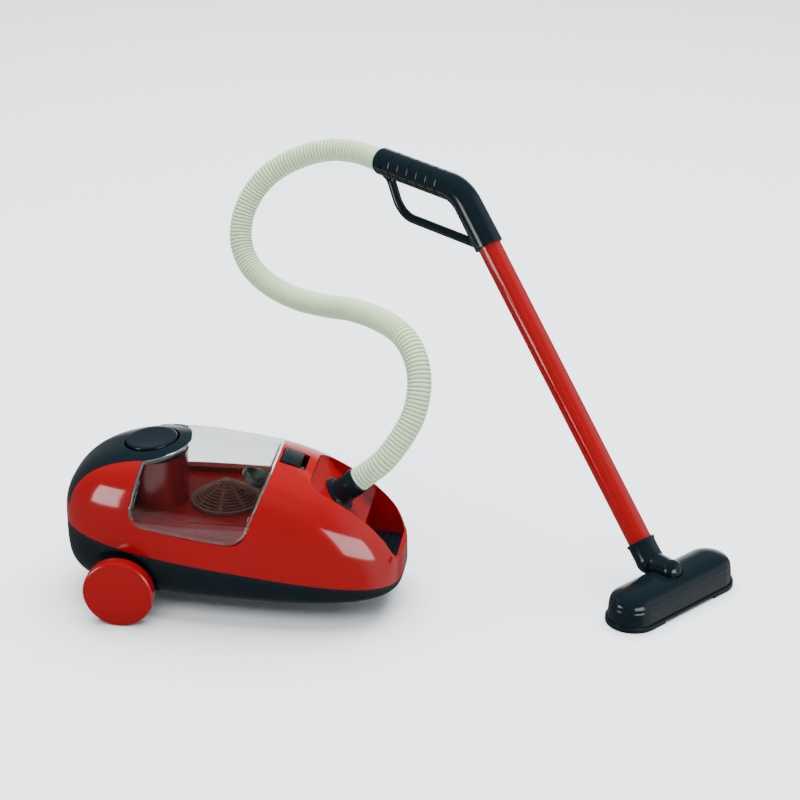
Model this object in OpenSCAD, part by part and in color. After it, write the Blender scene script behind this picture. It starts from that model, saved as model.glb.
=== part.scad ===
// Toy canister vacuum cleaner with hose, wand and floor nozzle.
// The object stands on Z = 0. The canister's nose points along +X and its rear axle lies along Y.

/* [Canister] */
// Distance from the rear axle back to the tail
tail_l = 70; // [60:1:80]
// Distance from the rear axle forward to the nose
nose_l = 278; // [270:1:290]
// Distance from the rear axle to the widest section
wide_x = 100; // [95:1:105]
// Width of the casing
body_w = 156; // [150:1:164]
// Height of the seam between the casings at the tail
seam_rear_z = 84; // [82:1:88]
// Height of the seam between the casings at the nose
seam_front_z = 42; // [40:1:46]
// Height of the red casing above the seam
dome_h = 103; // [98:1:110]
// How much lower the dome is at the nose
nose_drop = 54; // [48:1:58]
// Where the dome starts to fall towards the nose
drop_x = 130; // [125:1:135]
// Height of the casing's flat underside
belly_z = 17; // [16:0.5:18]
// Wall of both casings
wall = 2.5; // [2:0.1:3]
// Gap along the seam
seam_gap = 0.2; // [0.1:0.05:0.3]

/* [Lid and tail cover] */
// Rear end of the lid's side opening, from the axle
lid_rear_x = 6; // [4:1:10]
// Front end of the lid's side opening, from the axle
lid_front_x = 123; // [120:1:126]
// Height of the lid's lower edge above the seam
lid_sill = 30; // [27:1:33]
// Lean of the lid's rear edge
lid_rear_lean = 12.7; // [11:0.1:14]
// Lean of the lid's front edge
lid_front_lean = 21.8; // [20:0.1:24]
// Corner radius of the lid
lid_corner_r = 17; // [14:1:20]
// Wall of the clear lid
lid_wall = 2.2; // [1.8:0.1:2.6]
// Gap round the lid
lid_gap = 0.5; // [0.4:0.05:0.8]
// Radius of the tail cover's round front end
tail_r = 41; // [38:1:43]
// Half width of the tail cover at the tail
tail_end_w = 34; // [30:1:38]
// Lowest point of the tail cover
tail_low_z = 106; // [102:1:112]
// Gap round the tail cover
tail_gap = 0.3; // [0.2:0.05:0.4]

/* [Button and latch] */
// Distance from the axle to the power button
button_x = 20; // [18:1:22]
// Diameter of the power button
button_d = 52; // [48:1:54]
// Travel of the power button
button_travel = 3; // [2:0.5:3.5]
// Thickness of the power button
button_t = 5; // [4:0.5:6]
// Distance from the axle to the latch
latch_x = 164; // [162:1:166]
// Length of the latch along its slide
latch_l = 20; // [18:1:22]
// Width of the latch
latch_w = 30; // [26:1:32]
// Travel of the latch
latch_travel = 5; // [4:0.5:6]

/* [Hose bay] */
// Rear end of the hose bay, from the axle
bay_rear_x = 187; // [186:1:190]
// Front end of the hose bay, from the axle
bay_front_x = 270; // [268:1:271]
// Width of the hose bay
bay_w = 80; // [74:1:84]
// Corner radius of the hose bay
bay_r = 14; // [10:1:18]
// Height of the hose bay's floor
bay_floor_z = 54; // [52:1:58]
// Where the sloping seat of the hose cuff ends
seat_end_x = 237; // [235:1:240]
// Height of the nose's rim in front of the hose bay
lip_z = 67; // [64:1:70]

/* [Running gear] */
// Diameter of the rear wheels
wheel_d = 72; // [68:1:74]
// Width of a rear wheel
wheel_w = 15; // [13:1:16]
// Distance between the wheels' outer faces
track_w = 184; // [180:1:188]
// Diameter of the rear axle
axle_d = 6; // [5:0.5:7]
// Distance from the rear axle to the caster's swivel
caster_x = 212; // [206:1:216]
// Diameter of the caster wheel
caster_d = 15; // [14:0.5:16]

/* [Hose and wand] */
// Outer diameter of the hose
hose_d = 25; // [24:0.5:26]
// Bore of the hose
hose_bore = 19; // [18:0.5:20]
// Number of ribs on the hose
hose_ribs = 190; // [60:1:190]
// Diameter of the cuff's flange
cuff_flange_d = 37; // [35:1:39]
// Length of the cuff's barrel
cuff_l = 24; // [22:1:26]
// Diameter of the wand
wand_d = 25; // [24:0.5:26]
// Wall of the wand
wand_wall = 1.5; // [1.2:0.1:2]
// Lean of the wand from upright
wand_lean = 41.25; // [39:0.25:43]
// Distance along the wand from the neck's elbow to the handle
wand_l = 366; // [340:1:380]
// Diameter of the hand grip
grip_d = 30; // [29:0.5:31]
// Length of the grip, from the handle's corner
grip_l = 123; // [116:1:130]

/* [Floor nozzle] */
// Length of the nozzle
nozzle_l = 168; // [160:1:176]
// Width of the nozzle
nozzle_w = 56; // [52:1:60]
// Height of the nozzle's crown
nozzle_h = 34; // [32:1:36]
// Direction of the nozzle's length, from +X
nozzle_turn = 50.5; // [46:0.5:54]
// Height of the knuckle's centre
knuckle_z = 36; // [35:0.5:37]
// Diameter of the knuckle
knuckle_d = 23; // [22:0.5:24]

/* [Hidden] */
$fn = 64;

// Place of the rear axle and of the nozzle's knuckle in the object's frame
canister_x = -270;
canister_y = -120;
nozzle_x = 276;
nozzle_y = -83;

// Fits
running_fit = 0.06;
press_fit = 0.02;
gap = 0.3;
overrun = 1;

// Casing surface: exponents of its plan, its side view and its sections
plan_rear_n = 2.5;
plan_front_n = 3.4;
dome_rear_n = 2.4;
dome_front_n = 7;
belly_rear_n = 5;
belly_front_n = 2.8;
dome_section_n = 3;
belly_section_n = 3.4;
drop_power = 2;
stations = 30;
end_turn = 4;
dome_points = 20;
belly_points = 14;

function rounded_end(u, n) = pow(max(0, 1 - pow(min(1, max(0, u)), n)), 1 / n);
function fullness(x, inset, rear_n, front_n) = x < wide_x
  ? rounded_end((wide_x - x) / (wide_x + tail_l - inset), rear_n)
  : rounded_end((x - wide_x) / (nose_l - inset - wide_x), front_n);
function seam_z(x) = seam_rear_z + (seam_front_z - seam_rear_z) * (x + tail_l) / (nose_l + tail_l);
function half_w(x, inset) = (body_w / 2 - inset) * fullness(x, inset, plan_rear_n, plan_front_n);
function fall(x) = pow(max(0, (x - drop_x) / (nose_l - drop_x)), drop_power);
function dome(x, inset) = (dome_h - inset - nose_drop * fall(x))
  * fullness(x, inset, dome_rear_n, dome_front_n);
function belly(x, inset) = (seam_z(x) - belly_z - inset)
  * fullness(x, inset, belly_rear_n, belly_front_n);
function crown_z(x) = seam_z(x) + dome(x, 0);
function bent(c, n) = sign(c) * pow(abs(c), 2 / n);

// Points of one section, from the far seam over the dome or under the belly to the near seam
function station_x(i, inset) = -tail_l + inset + (nose_l + tail_l - 2 * inset)
  * (1 - cos(end_turn + (180 - 2 * end_turn) * i / stations)) / 2;
function dome_ring(x, inset, lift) = [for (j = [0:dome_points])
  let (a = 180 * j / dome_points)
  [x, half_w(x, inset) * bent(cos(a), dome_section_n),
    seam_z(x) + lift + max(0, dome(x, inset) - lift) * bent(sin(a), dome_section_n)]];
function belly_ring(x, inset, lift) = [for (j = [0:belly_points])
  let (a = 180 * j / belly_points)
  [x, half_w(x, inset) * bent(cos(a), belly_section_n),
    seam_z(x) - lift - max(0, belly(x, inset) - lift) * bent(sin(a), belly_section_n)]];

// Faces of a grid of points, rows by columns
function grid_faces(rows, cols, first, flip) = [for (i = [0:rows - 2], j = [0:cols - 2], k = [0, 1])
  let (a = first + i * cols + j, b = a + 1, c = a + cols, d = c + 1)
  let (f = k == 0 ? [a, b, d] : [a, d, c])
  flip ? [f[2], f[1], f[0]] : f];
function turned(f, flip) = flip ? [for (i = [len(f) - 1:-1:0]) f[i]] : f;

// A casing half: outer skin, inner skin, end caps and the rim between them
module half_shell(outer, inner, flip) {
  rows = len(outer);
  cols = len(outer[0]);
  n = rows * cols;
  last = (rows - 1) * cols;
  points = concat([for (r = outer, p = r) p], [for (r = inner, p = r) p]);
  rims = [for (i = [0:rows - 2], k = [0:3])
    let (a = i * cols, b = a + cols, c = a + cols - 1, d = b + cols - 1)
    [[a, b, n + b], [a, n + b, n + a], [c, n + c, n + d], [c, n + d, d]][k]];
  ends = [[for (j = [cols - 1:-1:0]) j], [for (j = [0:cols - 1]) last + j],
    [for (j = [0:cols - 1]) n + j], [for (j = [cols - 1:-1:0]) n + last + j],
    [0, n, n + cols - 1, cols - 1],
    [last, last + cols - 1, n + last + cols - 1, n + last]];
  faces = concat(grid_faces(rows, cols, 0, false), grid_faces(rows, cols, n, true), rims, ends);
  polyhedron(points, [for (f = faces) turned(f, flip)], convexity = 8);
}

// A casing half filled solid
module half_solid(rings, flip) {
  rows = len(rings);
  cols = len(rings[0]);
  last = (rows - 1) * cols;
  floor_faces = [for (i = [0:rows - 2], k = [0, 1])
    let (a = i * cols, b = a + cols, c = a + cols - 1, d = b + cols - 1)
    [[a, b, d], [a, d, c]][k]];
  ends = [[for (j = [cols - 1:-1:0]) j], [for (j = [0:cols - 1]) last + j]];
  faces = concat(grid_faces(rows, cols, 0, false), floor_faces, ends);
  polyhedron([for (r = rings, p = r) p], [for (f = faces) turned(f, flip)], convexity = 8);
}

function dome_rings(inset, lift) = [for (i = [0:stations]) dome_ring(station_x(i, inset), inset, lift)];
function belly_rings(inset, lift) = [for (i = [0:stations]) belly_ring(station_x(i, inset), inset, lift)];

// Polygon with rounded corners: each point is [x, y, radius]
corner_steps = 6;
function unit(v) = v / norm(v);
function rounded(points) = [for (i = [0:len(points) - 1])
  let (p = points[i], q = points[(i + len(points) - 1) % len(points)], r = points[(i + 1) % len(points)])
  let (c = [p[0], p[1]], u = unit([q[0], q[1]] - c), v = unit([r[0], r[1]] - c))
  let (half = acos(u * v) / 2, m = c + unit(u + v) * p[2] / sin(half))
  let (a0 = atan2((c + u * p[2] / tan(half) - m)[1], (c + u * p[2] / tan(half) - m)[0]))
  let (a1 = atan2((c + v * p[2] / tan(half) - m)[1], (c + v * p[2] / tan(half) - m)[0]))
  let (turn = a1 - a0 > 180 ? a1 - a0 - 360 : a1 - a0 < -180 ? a1 - a0 + 360 : a1 - a0)
  for (k = [0:p[2] > 0 ? corner_steps : 0])
    p[2] > 0 ? m + p[2] * [cos(a0 + turn * k / corner_steps), sin(a0 + turn * k / corner_steps)] : c];

// Frames: the canister's rear axle at floor level, and the knuckle with x forward and y along the nozzle
module in_canister() {
  translate([canister_x, canister_y, 0]) children();
}
module in_nozzle() {
  translate([nozzle_x, nozzle_y, 0]) rotate([0, 0, nozzle_turn - 90]) children();
}

// Side view to solid: the outline lies in X and Z
module across(width) {
  translate([0, width / 2, 0]) rotate([90, 0, 0]) linear_extrude(width) children();
}

// Tube swept along a path with its own radius at each point
function path_tangent(p, i) = unit(p[min(i + 1, len(p) - 1)] - p[max(i - 1, 0)]);
function carried(side, t) = unit(side - t * (side * t));
function path_sides(p, start) = [for (i = 0, s = carried(start, path_tangent(p, 0)); i < len(p);
  i = i + 1, s = i < len(p) ? carried(s, path_tangent(p, i)) : s) s];
function tube_ring(c, t, s, r, sides) = [for (k = [0:sides - 1])
  c + r * (cos(360 * k / sides) * s + sin(360 * k / sides) * cross(t, s))];
function loop_faces(rows, sides, first, flip) = [for (i = [0:rows - 2], j = [0:sides - 1], k = [0, 1])
  let (a = first + i * sides + j, b = first + i * sides + (j + 1) % sides, c = a + sides, d = b + sides)
  turned(k == 0 ? [a, c, d] : [a, d, b], flip)];
module swept_rod(path, r, sides, start) {
  side = path_sides(path, start);
  points = [for (i = [0:len(path) - 1])
    each tube_ring(path[i], path_tangent(path, i), side[i], r, sides)];
  last = (len(path) - 1) * sides;
  polyhedron(points, concat(loop_faces(len(path), sides, 0, false),
    [[for (k = [0:sides - 1]) k], [for (k = [sides - 1:-1:0]) last + k]]), convexity = 10);
}
coil_steps = 10;
wire_sides = 5;
module coil_spring(r, wire_r, turns, height) {
  rise = height - 2 * wire_r;
  path = [for (i = [0:turns * coil_steps]) [r * cos(360 * i / coil_steps), r * sin(360 * i / coil_steps),
    wire_r + rise * i / (turns * coil_steps)]];
  swept_rod(path, wire_r, wire_sides, [1, 0, 0]);
}

// Casing cutters
lid_top = body_w;
function lid_corner(x) = [x, seam_z(x) + lid_sill];
module lid_outline(inset) {
  rear = lid_corner(lid_rear_x);
  front = lid_corner(lid_front_x);
  offset_rear = inset / cos(lid_rear_lean);
  offset_front = inset / cos(lid_front_lean);
  polygon(rounded([[rear[0] + offset_rear, rear[1] + inset, lid_corner_r],
    [front[0] - offset_front, front[1] + inset, lid_corner_r],
    [front[0] - offset_front + lid_top * tan(lid_front_lean), front[1] + lid_top, 0],
    [rear[0] + offset_rear + lid_top * tan(lid_rear_lean), rear[1] + lid_top, 0]]));
}
module lid_prism(inset) {
  across(body_w + 2 * overrun) lid_outline(inset);
}
module tail_prism(inset) {
  end_x = -tail_l - overrun;
  translate([0, 0, tail_low_z + inset]) linear_extrude(seam_rear_z + dome_h) union() {
    translate([button_x, 0]) circle(tail_r - inset);
    polygon([[button_x, tail_r - inset], [end_x, tail_end_w - inset],
      [end_x, inset - tail_end_w], [button_x, inset - tail_r]]);
  }
}

// Sloping seat of the hose cuff
cuff_lean = 41;
seat_x = 210;
seat_z = 118;
function seat_line(x) = seat_z - (x - seat_x) / tan(cuff_lean);
function shifted_seat(x, depth) = seat_line(x) - depth / sin(cuff_lean);
module in_seat() {
  translate([seat_x, 0, seat_z]) rotate([0, 90 - cuff_lean, 0]) children();
}
bay_top = seam_rear_z + dome_h;
module bay_outline(grow) {
  polygon([[bay_rear_x - grow, shifted_seat(bay_rear_x - grow, grow)],
    [seat_end_x - grow, shifted_seat(seat_end_x - grow, grow)],
    [seat_end_x - grow, bay_floor_z - grow], [bay_front_x + grow, bay_floor_z - grow],
    [bay_front_x + grow, bay_top], [bay_rear_x - grow, bay_top]]);
}
module bay_plan(grow) {
  w = bay_w / 2 + grow;
  polygon(rounded([[bay_rear_x - grow, -w, bay_r + grow], [bay_front_x + grow, -w, bay_r + grow],
    [bay_front_x + grow, w, bay_r + grow], [bay_rear_x - grow, w, bay_r + grow]]));
}
lip_lead = 4;
lip_rise = 21;
module nose_notch() {
  across(body_w) polygon([[bay_front_x - lip_lead, lip_z + lip_rise], [bay_front_x, lip_z],
    [nose_l + overrun, lip_z], [nose_l + overrun, bay_top], [bay_front_x - lip_lead, bay_top]]);
}
module bay_prism(grow) {
  intersection() {
    across(body_w) bay_outline(grow);
    linear_extrude(bay_top + overrun) bay_plan(grow);
  }
}

// Latch slide: along the dome's slope at the latch
latch_slope = atan2(crown_z(latch_x + latch_l / 2) - crown_z(latch_x - latch_l / 2), latch_l);
latch_play = 1;
latch_sink = 1.6;
latch_tab_t = 2;
latch_tab_w = 8;
latch_tab_h = 5;
latch_stop_x = 19.5;
latch_flange = 4;
latch_flange_t = 2.4;
latch_proud = 1.2;
latch_rib_r = 1.1;
latch_ribs = 5;
module in_latch() {
  translate([latch_x, 0, crown_z(latch_x)]) rotate([0, -latch_slope, 0]) children();
}
latch_depth = wall + latch_sink + latch_flange_t;

// Rear wheels and axle
wheel_r = wheel_d / 2;
axle_r = axle_d / 2;
wheel_out_y = track_w / 2;
wheel_in_y = wheel_out_y - wheel_w;
hub_r = 11;
hub_l = 4;
wheel_face_t = 3;
boss_r = 8;
boss_end_y = wheel_in_y - hub_l - gap;
boss_root_y = body_w / 4;
arch_gap = 1.5;
arch_r = wheel_r + arch_gap;
arch_y = 60;
arch_t = 2.5;
// The arch's liner ends this far below the tub's rim
liner_drop = 0.6;

// Caster
caster_r = caster_d / 2;
caster_trail = 5;
caster_wheel_w = 9;
caster_cheek_t = 2;
caster_pin_r = 3;
caster_axle_r = 1.5;
caster_top = caster_d + gap * 2;
caster_crown_t = 2;
caster_boss_z = 34;
caster_boss_r = 7;

// Battery compartment, four small cells side by side
cell_d = 14.2;
cell_l = 50;
cell_count = 4;
cell_pitch = 15;
cell_x = 17;
cell_z = 30;
box_wall = 1.5;
contact_t = 0.6;
contact_room = 3;
box_len = cell_l + 2 * contact_room;
box_half = cell_count * cell_pitch / 2 + gap;
box_x0 = cell_x - contact_room;
box_z = 22;
box_top = cell_z + cell_d / 2 + gap;
door_edge = 4;
door_z = belly_z + gap;
door_t = 2.2;
pad_edge = 4;
door_rib_t = 2;
door_tab_r = 4.5;
door_tab_lead = 2;
door_screw_x = box_x0 + box_len + door_edge + door_tab_lead;
door_screw_l = 6.4;

// Motor and fan on the chamber's middle
fan_x = 95;
tray_z = 103;
tray_t = 2;
tray_rim = 6;
tray_inset = 16;
tray_half = body_w / 2 - tray_inset;
tray_front_x = 146;
tray_rear_x = 14;
tower_r = 36;
tower_top_z = 156;
motor_d = 28;
motor_l = 38;
motor_z = 60;
mount_wall = 3;
mount_floor_z = 24;
shaft_r = 1;
shaft_boss_r = 5;
fan_r = 22;
fan_h = 5;
fan_lift = 2;
fan_z = tray_z + fan_lift;
fan_blades = 8;
fan_blade_t = 1.2;
cone_r = 36;
cone_h = 24;
cone_rim = 4;
cone_wall = 1.6;
cone_cap_r = 5;
cone_spoke_w = 3;

// Button well, stem and switch, in the button's own frame: its zero is the dome's surface
button_tilt = 5;
button_proud = 0.3;
button_r = button_d / 2;
button_edge_r = 1.5;
button_low = button_proud - button_t;
well_gap = 0.5;
well_wall = 2;
well_bevel = 2.8;
well_depth = 16;
well_floor_t = 2;
stem_r = 5;
stem_proud = 0.5;
stem_low = -well_depth - well_floor_t - stem_proud;
plunger_h = 0.7;
switch_post_h = stem_proud + button_travel + gap + plunger_h;
switch_post_r = 3;
switch_top = -well_depth - well_floor_t - switch_post_h;
switch_l = 16;
switch_w = 12;
switch_h = 16;
switch_flange_l = 28;
switch_flange_t = 2;
plunger_r = 3;
plunger_top = switch_top + plunger_h;
spring_wire_r = 0.5;
button_turns = 5;
latch_turns = 4;
button_spring_r = 8;
spring_seat_gap = 0.1;
module in_button() {
  translate([button_x, 0, crown_z(button_x)]) rotate([0, -button_tilt, 0]) children();
}

// Screws
screw_r = 1.5;
screw_head_r = 3;
screw_head_h = 2;
screw_l = 14;
screw_boss_r = 5;
screw_floor = 4;
screw_rear_inset = 32;
screw_front_inset = 34;
screw_rear = [-30, body_w / 2 - screw_rear_inset, 38];
screw_front = [178, body_w / 2 - screw_front_inset, 28];
screw_places = [for (p = [screw_rear, screw_front], s = [1, -1]) [p[0], s * p[1], p[2]]];
post_r = 4;
post_root_r = 5;
post_root_z = 96;

// Duct from the cuff to the chamber
duct_r = 8.8;
duct_bore = 7.2;
duct_rise = 16;
duct_mouth_x = 125;
flare_r = 11.5;
flare_l = 12;
elbow_proud = 0.4;
spigot_l = 6;
spigot_wall = 1.4;
cuff_flange_t = 3;
cuff_r = 13.5;
seat_axis = [sin(90 - cuff_lean), 0, cos(90 - cuff_lean)];
cuff_end = [seat_x, 0, seat_z] + seat_axis * (cuff_flange_t + cuff_l);
duct_drop = duct_r + elbow_proud + gap;
duct_elbow = [seat_x, 0, seat_z] - seat_axis * (wall + duct_drop);
duct_l = (duct_elbow[0] - duct_mouth_x) / cos(duct_rise);
module in_duct() {
  translate(duct_elbow) rotate([0, duct_rise - 90, 0]) children();
}

// Wand and handle, measured along the wand from the neck's elbow
arm_l = 29.4;
neck_sleeve_l = 22;
neck_sleeve_r = 14.5;
neck_arm_r = 11;
wand_start = 6;
wand_insert = 26;
handle_sleeve_r = 15.5;
handle_bend_r = 38;
handle_corner = 66;
handle_turn = 90 - wand_lean;
handle_tangent = handle_bend_r * tan(handle_turn / 2);
groove_count = 6;
groove_pitch = 14.5;
groove_first = 25;
groove_w = 1.6;
groove_depth = 0.7;
guard_r = 5;
guard_drop = 53;
guard_lead = 31.5;
guard_lean = 64.4;
guard_bend_r = 30;
grip_bore_l = 24;
bend_lap = 1;
bend_fine = 0.1;
wand_top = wand_l + handle_corner;

// Floor nozzle
sole_z = 3;
sole_t = 2.5;
sole_edge = 2;
foot_inner = 37;
slot_w = 20;
slot_margin = 28;
hood_z = sole_z + sole_t;
hood_crease_z = 21;
hood_draft = 1.2;
hood_wall = 2.2;
hood_points = 12;
hood_dome_rings = 8;
hood_dome_n = 2.4;
hood_ridge_share = 0.12;
seat_clear = 0.5;
neck_pin_r = 1.5;
neck_pin_x = -12;
neck_pin_boss_r = 4;
neck_pin_boss_z = 14;
neck_groove = 2;
neck_bore = 7;
neck_mouth_r = 5.5;
nozzle_screw_y = 56;
nozzle_boss_r = 4;
knuckle_r = knuckle_d / 2;
elbow_r = neck_sleeve_r + elbow_proud;

// Dust chamber details
tray_r = 8;
tray_leg_x = [26, 122];
tray_leg_y = 46;
tray_leg_r = 4;
tray_leg_z = 28;
front_inset = 12;
front_half = tray_half - front_inset;
front_top_z = 142;
cone_rings = 9;
cone_spokes = 8;
cone_spoke_share = 0.35;
grille_t = 1.5;
grille_slots = 4;
grille_slot_w = 3;
grille_edge = 5;

// Small sizes of the button spring's mate, cells, door, wheels, caster and screws
latch_spring_r = 2;
cell_tip = 1;
cell_tip_r = 2.8;
contact_w = 9;
wheel_edge_r = 3;
caster_cheek_w = 4;
caster_bevel = 1;
nozzle_screw_l = 16;

// The hose runs straight out of the handle and of the cuff, and between them through these points
hose_points = [[-110, 226, 360], [-136, 232, 355], [-164, 234, 344], [-190, 232, 328],
  [-210, 226, 306], [-221, 216, 280], [-221, 203, 254], [-208, 187, 233], [-182, 165, 221],
  [-146, 131, 221], [-106, 84, 235], [-68, 31, 255], [-32, -16, 266], [-5, -47, 264],
  [11, -68, 249], [17, -85, 228], [14, -99, 204], [2, -111, 180]];
hose_rib_depth = 1;
hose_sides = 8;
hose_steps = 12;
hose_bore_rings = 76;

// Colours
red = [0.66, 0.06, 0.05];
dark = [0.06, 0.12, 0.15];
clear = [0.85, 0.88, 0.90, 0.35];
steel = [0.70, 0.72, 0.74];
pale = [0.80, 0.82, 0.77];
copper = [0.75, 0.55, 0.25];
grey = [0.45, 0.46, 0.48];

// Casings
module tub_pads() {
  translate([fan_x, 0, 0]) cylinder(r = motor_d / 2 + 2 * mount_wall, h = mount_floor_z);
  for (x = tray_leg_x, y = [-tray_leg_y, tray_leg_y])
    translate([x, y, 0]) cylinder(r = tray_leg_r + wall, h = tray_leg_z);
  for (p = screw_places)
    translate([p[0], p[1], 0]) cylinder(r = screw_boss_r, h = p[2] + screw_floor);
  translate([door_screw_x, 0, 0]) cylinder(r = door_tab_r + pad_edge, h = box_z);
  translate([box_x0 - box_wall - pad_edge, -box_half - box_wall - pad_edge, 0])
    cube([box_len + 2 * (box_wall + pad_edge), 2 * (box_half + box_wall + pad_edge), box_z]);
  for (s = [-1, 1])
    translate([0, s * (arch_y - arch_t), wheel_r]) rotate([-s * 90, 0, 0])
      cylinder(r = arch_r + arch_t, h = body_w);
}
module base_tub() {
  color(dark) in_canister() difference() {
    union() {
      half_shell(belly_rings(0, seam_gap / 2), belly_rings(wall, seam_gap / 2), false);
      intersection() {
        half_solid(belly_rings(wall / 2, seam_gap / 2 + liner_drop), false);
        tub_pads();
      }
      for (s = [-1, 1])
        translate([0, s * boss_end_y, wheel_r]) rotate([s * 90, 0, 0])
          cylinder(r = boss_r, h = boss_end_y - boss_root_y);
      translate([caster_x, 0, caster_top + caster_crown_t + gap])
        cylinder(r = caster_boss_r, h = caster_boss_z - caster_top - caster_crown_t - gap);
    }
    for (s = [-1, 1])
      translate([0, s * arch_y, wheel_r]) rotate([-s * 90, 0, 0]) difference() {
        cylinder(r = arch_r, h = body_w);
        cylinder(r = boss_r, h = boss_end_y - arch_y);
      }
    translate([0, 0, wheel_r]) rotate([90, 0, 0])
      cylinder(r = axle_r + running_fit, h = track_w, center = true);
    translate([caster_x, 0, 0])
      cylinder(r = caster_pin_r + running_fit, h = caster_boss_z - wall);
    for (p = screw_places) translate([p[0], p[1], 0]) {
      cylinder(r = screw_r + gap, h = p[2] + screw_l);
      cylinder(r = screw_head_r + gap, h = p[2]);
    }
    translate([box_x0, -box_half, 0]) cube([box_len, 2 * box_half, box_z + overrun]);
    translate([box_x0 - door_edge, -box_half - door_edge, 0])
      cube([box_len + 2 * door_edge, 2 * (box_half + door_edge), door_z + door_t]);
    translate([door_screw_x, 0, 0]) cylinder(r = door_tab_r + gap, h = door_z + door_t);
    translate([door_screw_x, 0, 0]) cylinder(r = screw_r + press_fit, h = box_z + overrun);
  }
}
module upper_shell() {
  color(red) in_canister() difference() {
    union() {
      half_shell(dome_rings(0, seam_gap / 2), dome_rings(wall, seam_gap / 2), true);
      intersection() {
        half_solid(dome_rings(wall / 2, seam_gap / 2), true);
        union() {
          bay_prism(wall);
          for (p = screw_places) translate([p[0], p[1], post_root_z]) cylinder(r = post_root_r, h = body_w);
        }
      }
      for (p = screw_places) translate([p[0], p[1], p[2] + screw_floor])
        cylinder(r = post_r, h = post_root_z + post_r - p[2] - screw_floor);
      in_latch() translate([latch_stop_x, -latch_tab_w / 2, -latch_depth - latch_tab_h])
        cube([latch_tab_t, latch_tab_w, latch_depth + latch_tab_h - wall / 2]);
    }
    bay_prism(0);
    nose_notch();
    for (p = screw_places) translate([p[0], p[1], 0]) cylinder(r = screw_r + press_fit, h = p[2] + screw_l);
    lid_prism(0);
    tail_prism(0);
    in_latch() translate([-latch_l / 2 - latch_play, -latch_w / 2 - latch_play, -latch_depth])
      cube([latch_l + latch_travel + 2 * latch_play, latch_w + 2 * latch_play, 2 * latch_depth]);
    in_seat() cylinder(r = duct_bore, h = 2 * wall, center = true);
  }
}
module tail_cover() {
  hole_r = button_r + well_gap;
  color(dark) in_canister() difference() {
    union() {
      intersection() {
        half_shell(dome_rings(0, seam_gap / 2), dome_rings(wall, seam_gap / 2), true);
        tail_prism(tail_gap);
      }
      intersection() {
        half_solid(dome_rings(wall / 2, seam_gap / 2), true);
        in_button() translate([0, 0, -well_depth - well_floor_t])
          cylinder(r = hole_r + well_wall, h = well_depth + well_floor_t + button_t);
      }
      in_button() for (s = [-1, 1])
        translate([s * (switch_flange_l / 2 - switch_post_r), 0, switch_top])
          cylinder(r = switch_post_r, h = switch_post_h + overrun);
    }
    in_button() translate([0, 0, -well_depth]) cylinder(r = hole_r, h = well_depth + button_t);
    in_button() translate([0, 0, -well_bevel])
      cylinder(r1 = hole_r, r2 = hole_r + 2 * well_bevel, h = 2 * well_bevel);
    in_button() translate([0, 0, switch_top])
      cylinder(r = stem_r + running_fit, h = well_depth + button_t);
  }
}
module dust_lid() {
  color(clear) in_canister() difference() {
    intersection() {
      half_shell(dome_rings(0, seam_gap / 2), dome_rings(lid_wall, seam_gap / 2), true);
      lid_prism(lid_gap);
    }
    tail_prism(-lid_gap);
  }
}

// Button, switch and latch
module power_button() {
  color(dark) in_canister() in_button() {
    rotate_extrude() polygon(concat([[0, stem_low], [stem_r, stem_low], [stem_r, button_low],
      [button_r, button_low]],
      [for (a = [0:15:90]) [button_r - button_edge_r + button_edge_r * cos(a),
        button_proud - button_edge_r + button_edge_r * sin(a)]], [[0, button_proud]]));
  }
}
module button_spring() {
  color(steel) in_canister() in_button() translate([0, 0, spring_seat_gap - well_depth])
    coil_spring(button_spring_r, spring_wire_r, button_turns, well_depth + button_low - 2 * spring_seat_gap);
}
module switch() {
  color(grey) in_canister() in_button() {
    translate([-switch_l / 2, -switch_w / 2, switch_top - switch_h]) cube([switch_l, switch_w, switch_h]);
    translate([-switch_flange_l / 2, -switch_w / 2, switch_top - switch_flange_t])
      cube([switch_flange_l, switch_w, switch_flange_t]);
    translate([0, 0, switch_top - overrun]) cylinder(r = plunger_r, h = plunger_top - switch_top + overrun);
  }
}
module lid_latch() {
  rib_pitch = latch_l / latch_ribs;
  color(dark) in_canister() in_latch() {
    translate([-latch_l / 2, -latch_w / 2, -latch_depth]) cube([latch_l, latch_w, latch_depth + latch_proud]);
    translate([-latch_l / 2, -latch_w / 2 - latch_flange, -latch_depth])
      cube([latch_l, latch_w + 2 * latch_flange, latch_flange_t]);
    translate([latch_l / 2 - latch_tab_t, -latch_tab_w / 2, -latch_depth - latch_tab_h])
      cube([latch_tab_t, latch_tab_w, latch_tab_h + latch_flange_t]);
    for (i = [0:latch_ribs - 1])
      translate([-latch_l / 2 + rib_pitch * (i + 1 / 2), 0, latch_proud]) rotate([90, 0, 0])
        cylinder(r = latch_rib_r, h = latch_w, center = true);
  }
}
module latch_spring() {
  start = latch_l / 2 + spring_seat_gap;
  color(steel) in_canister() in_latch() translate([start, 0, -latch_depth - latch_tab_h / 2])
    rotate([0, 90, 0])
      coil_spring(latch_spring_r, spring_wire_r, latch_turns, latch_stop_x - spring_seat_gap - start);
}

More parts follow.
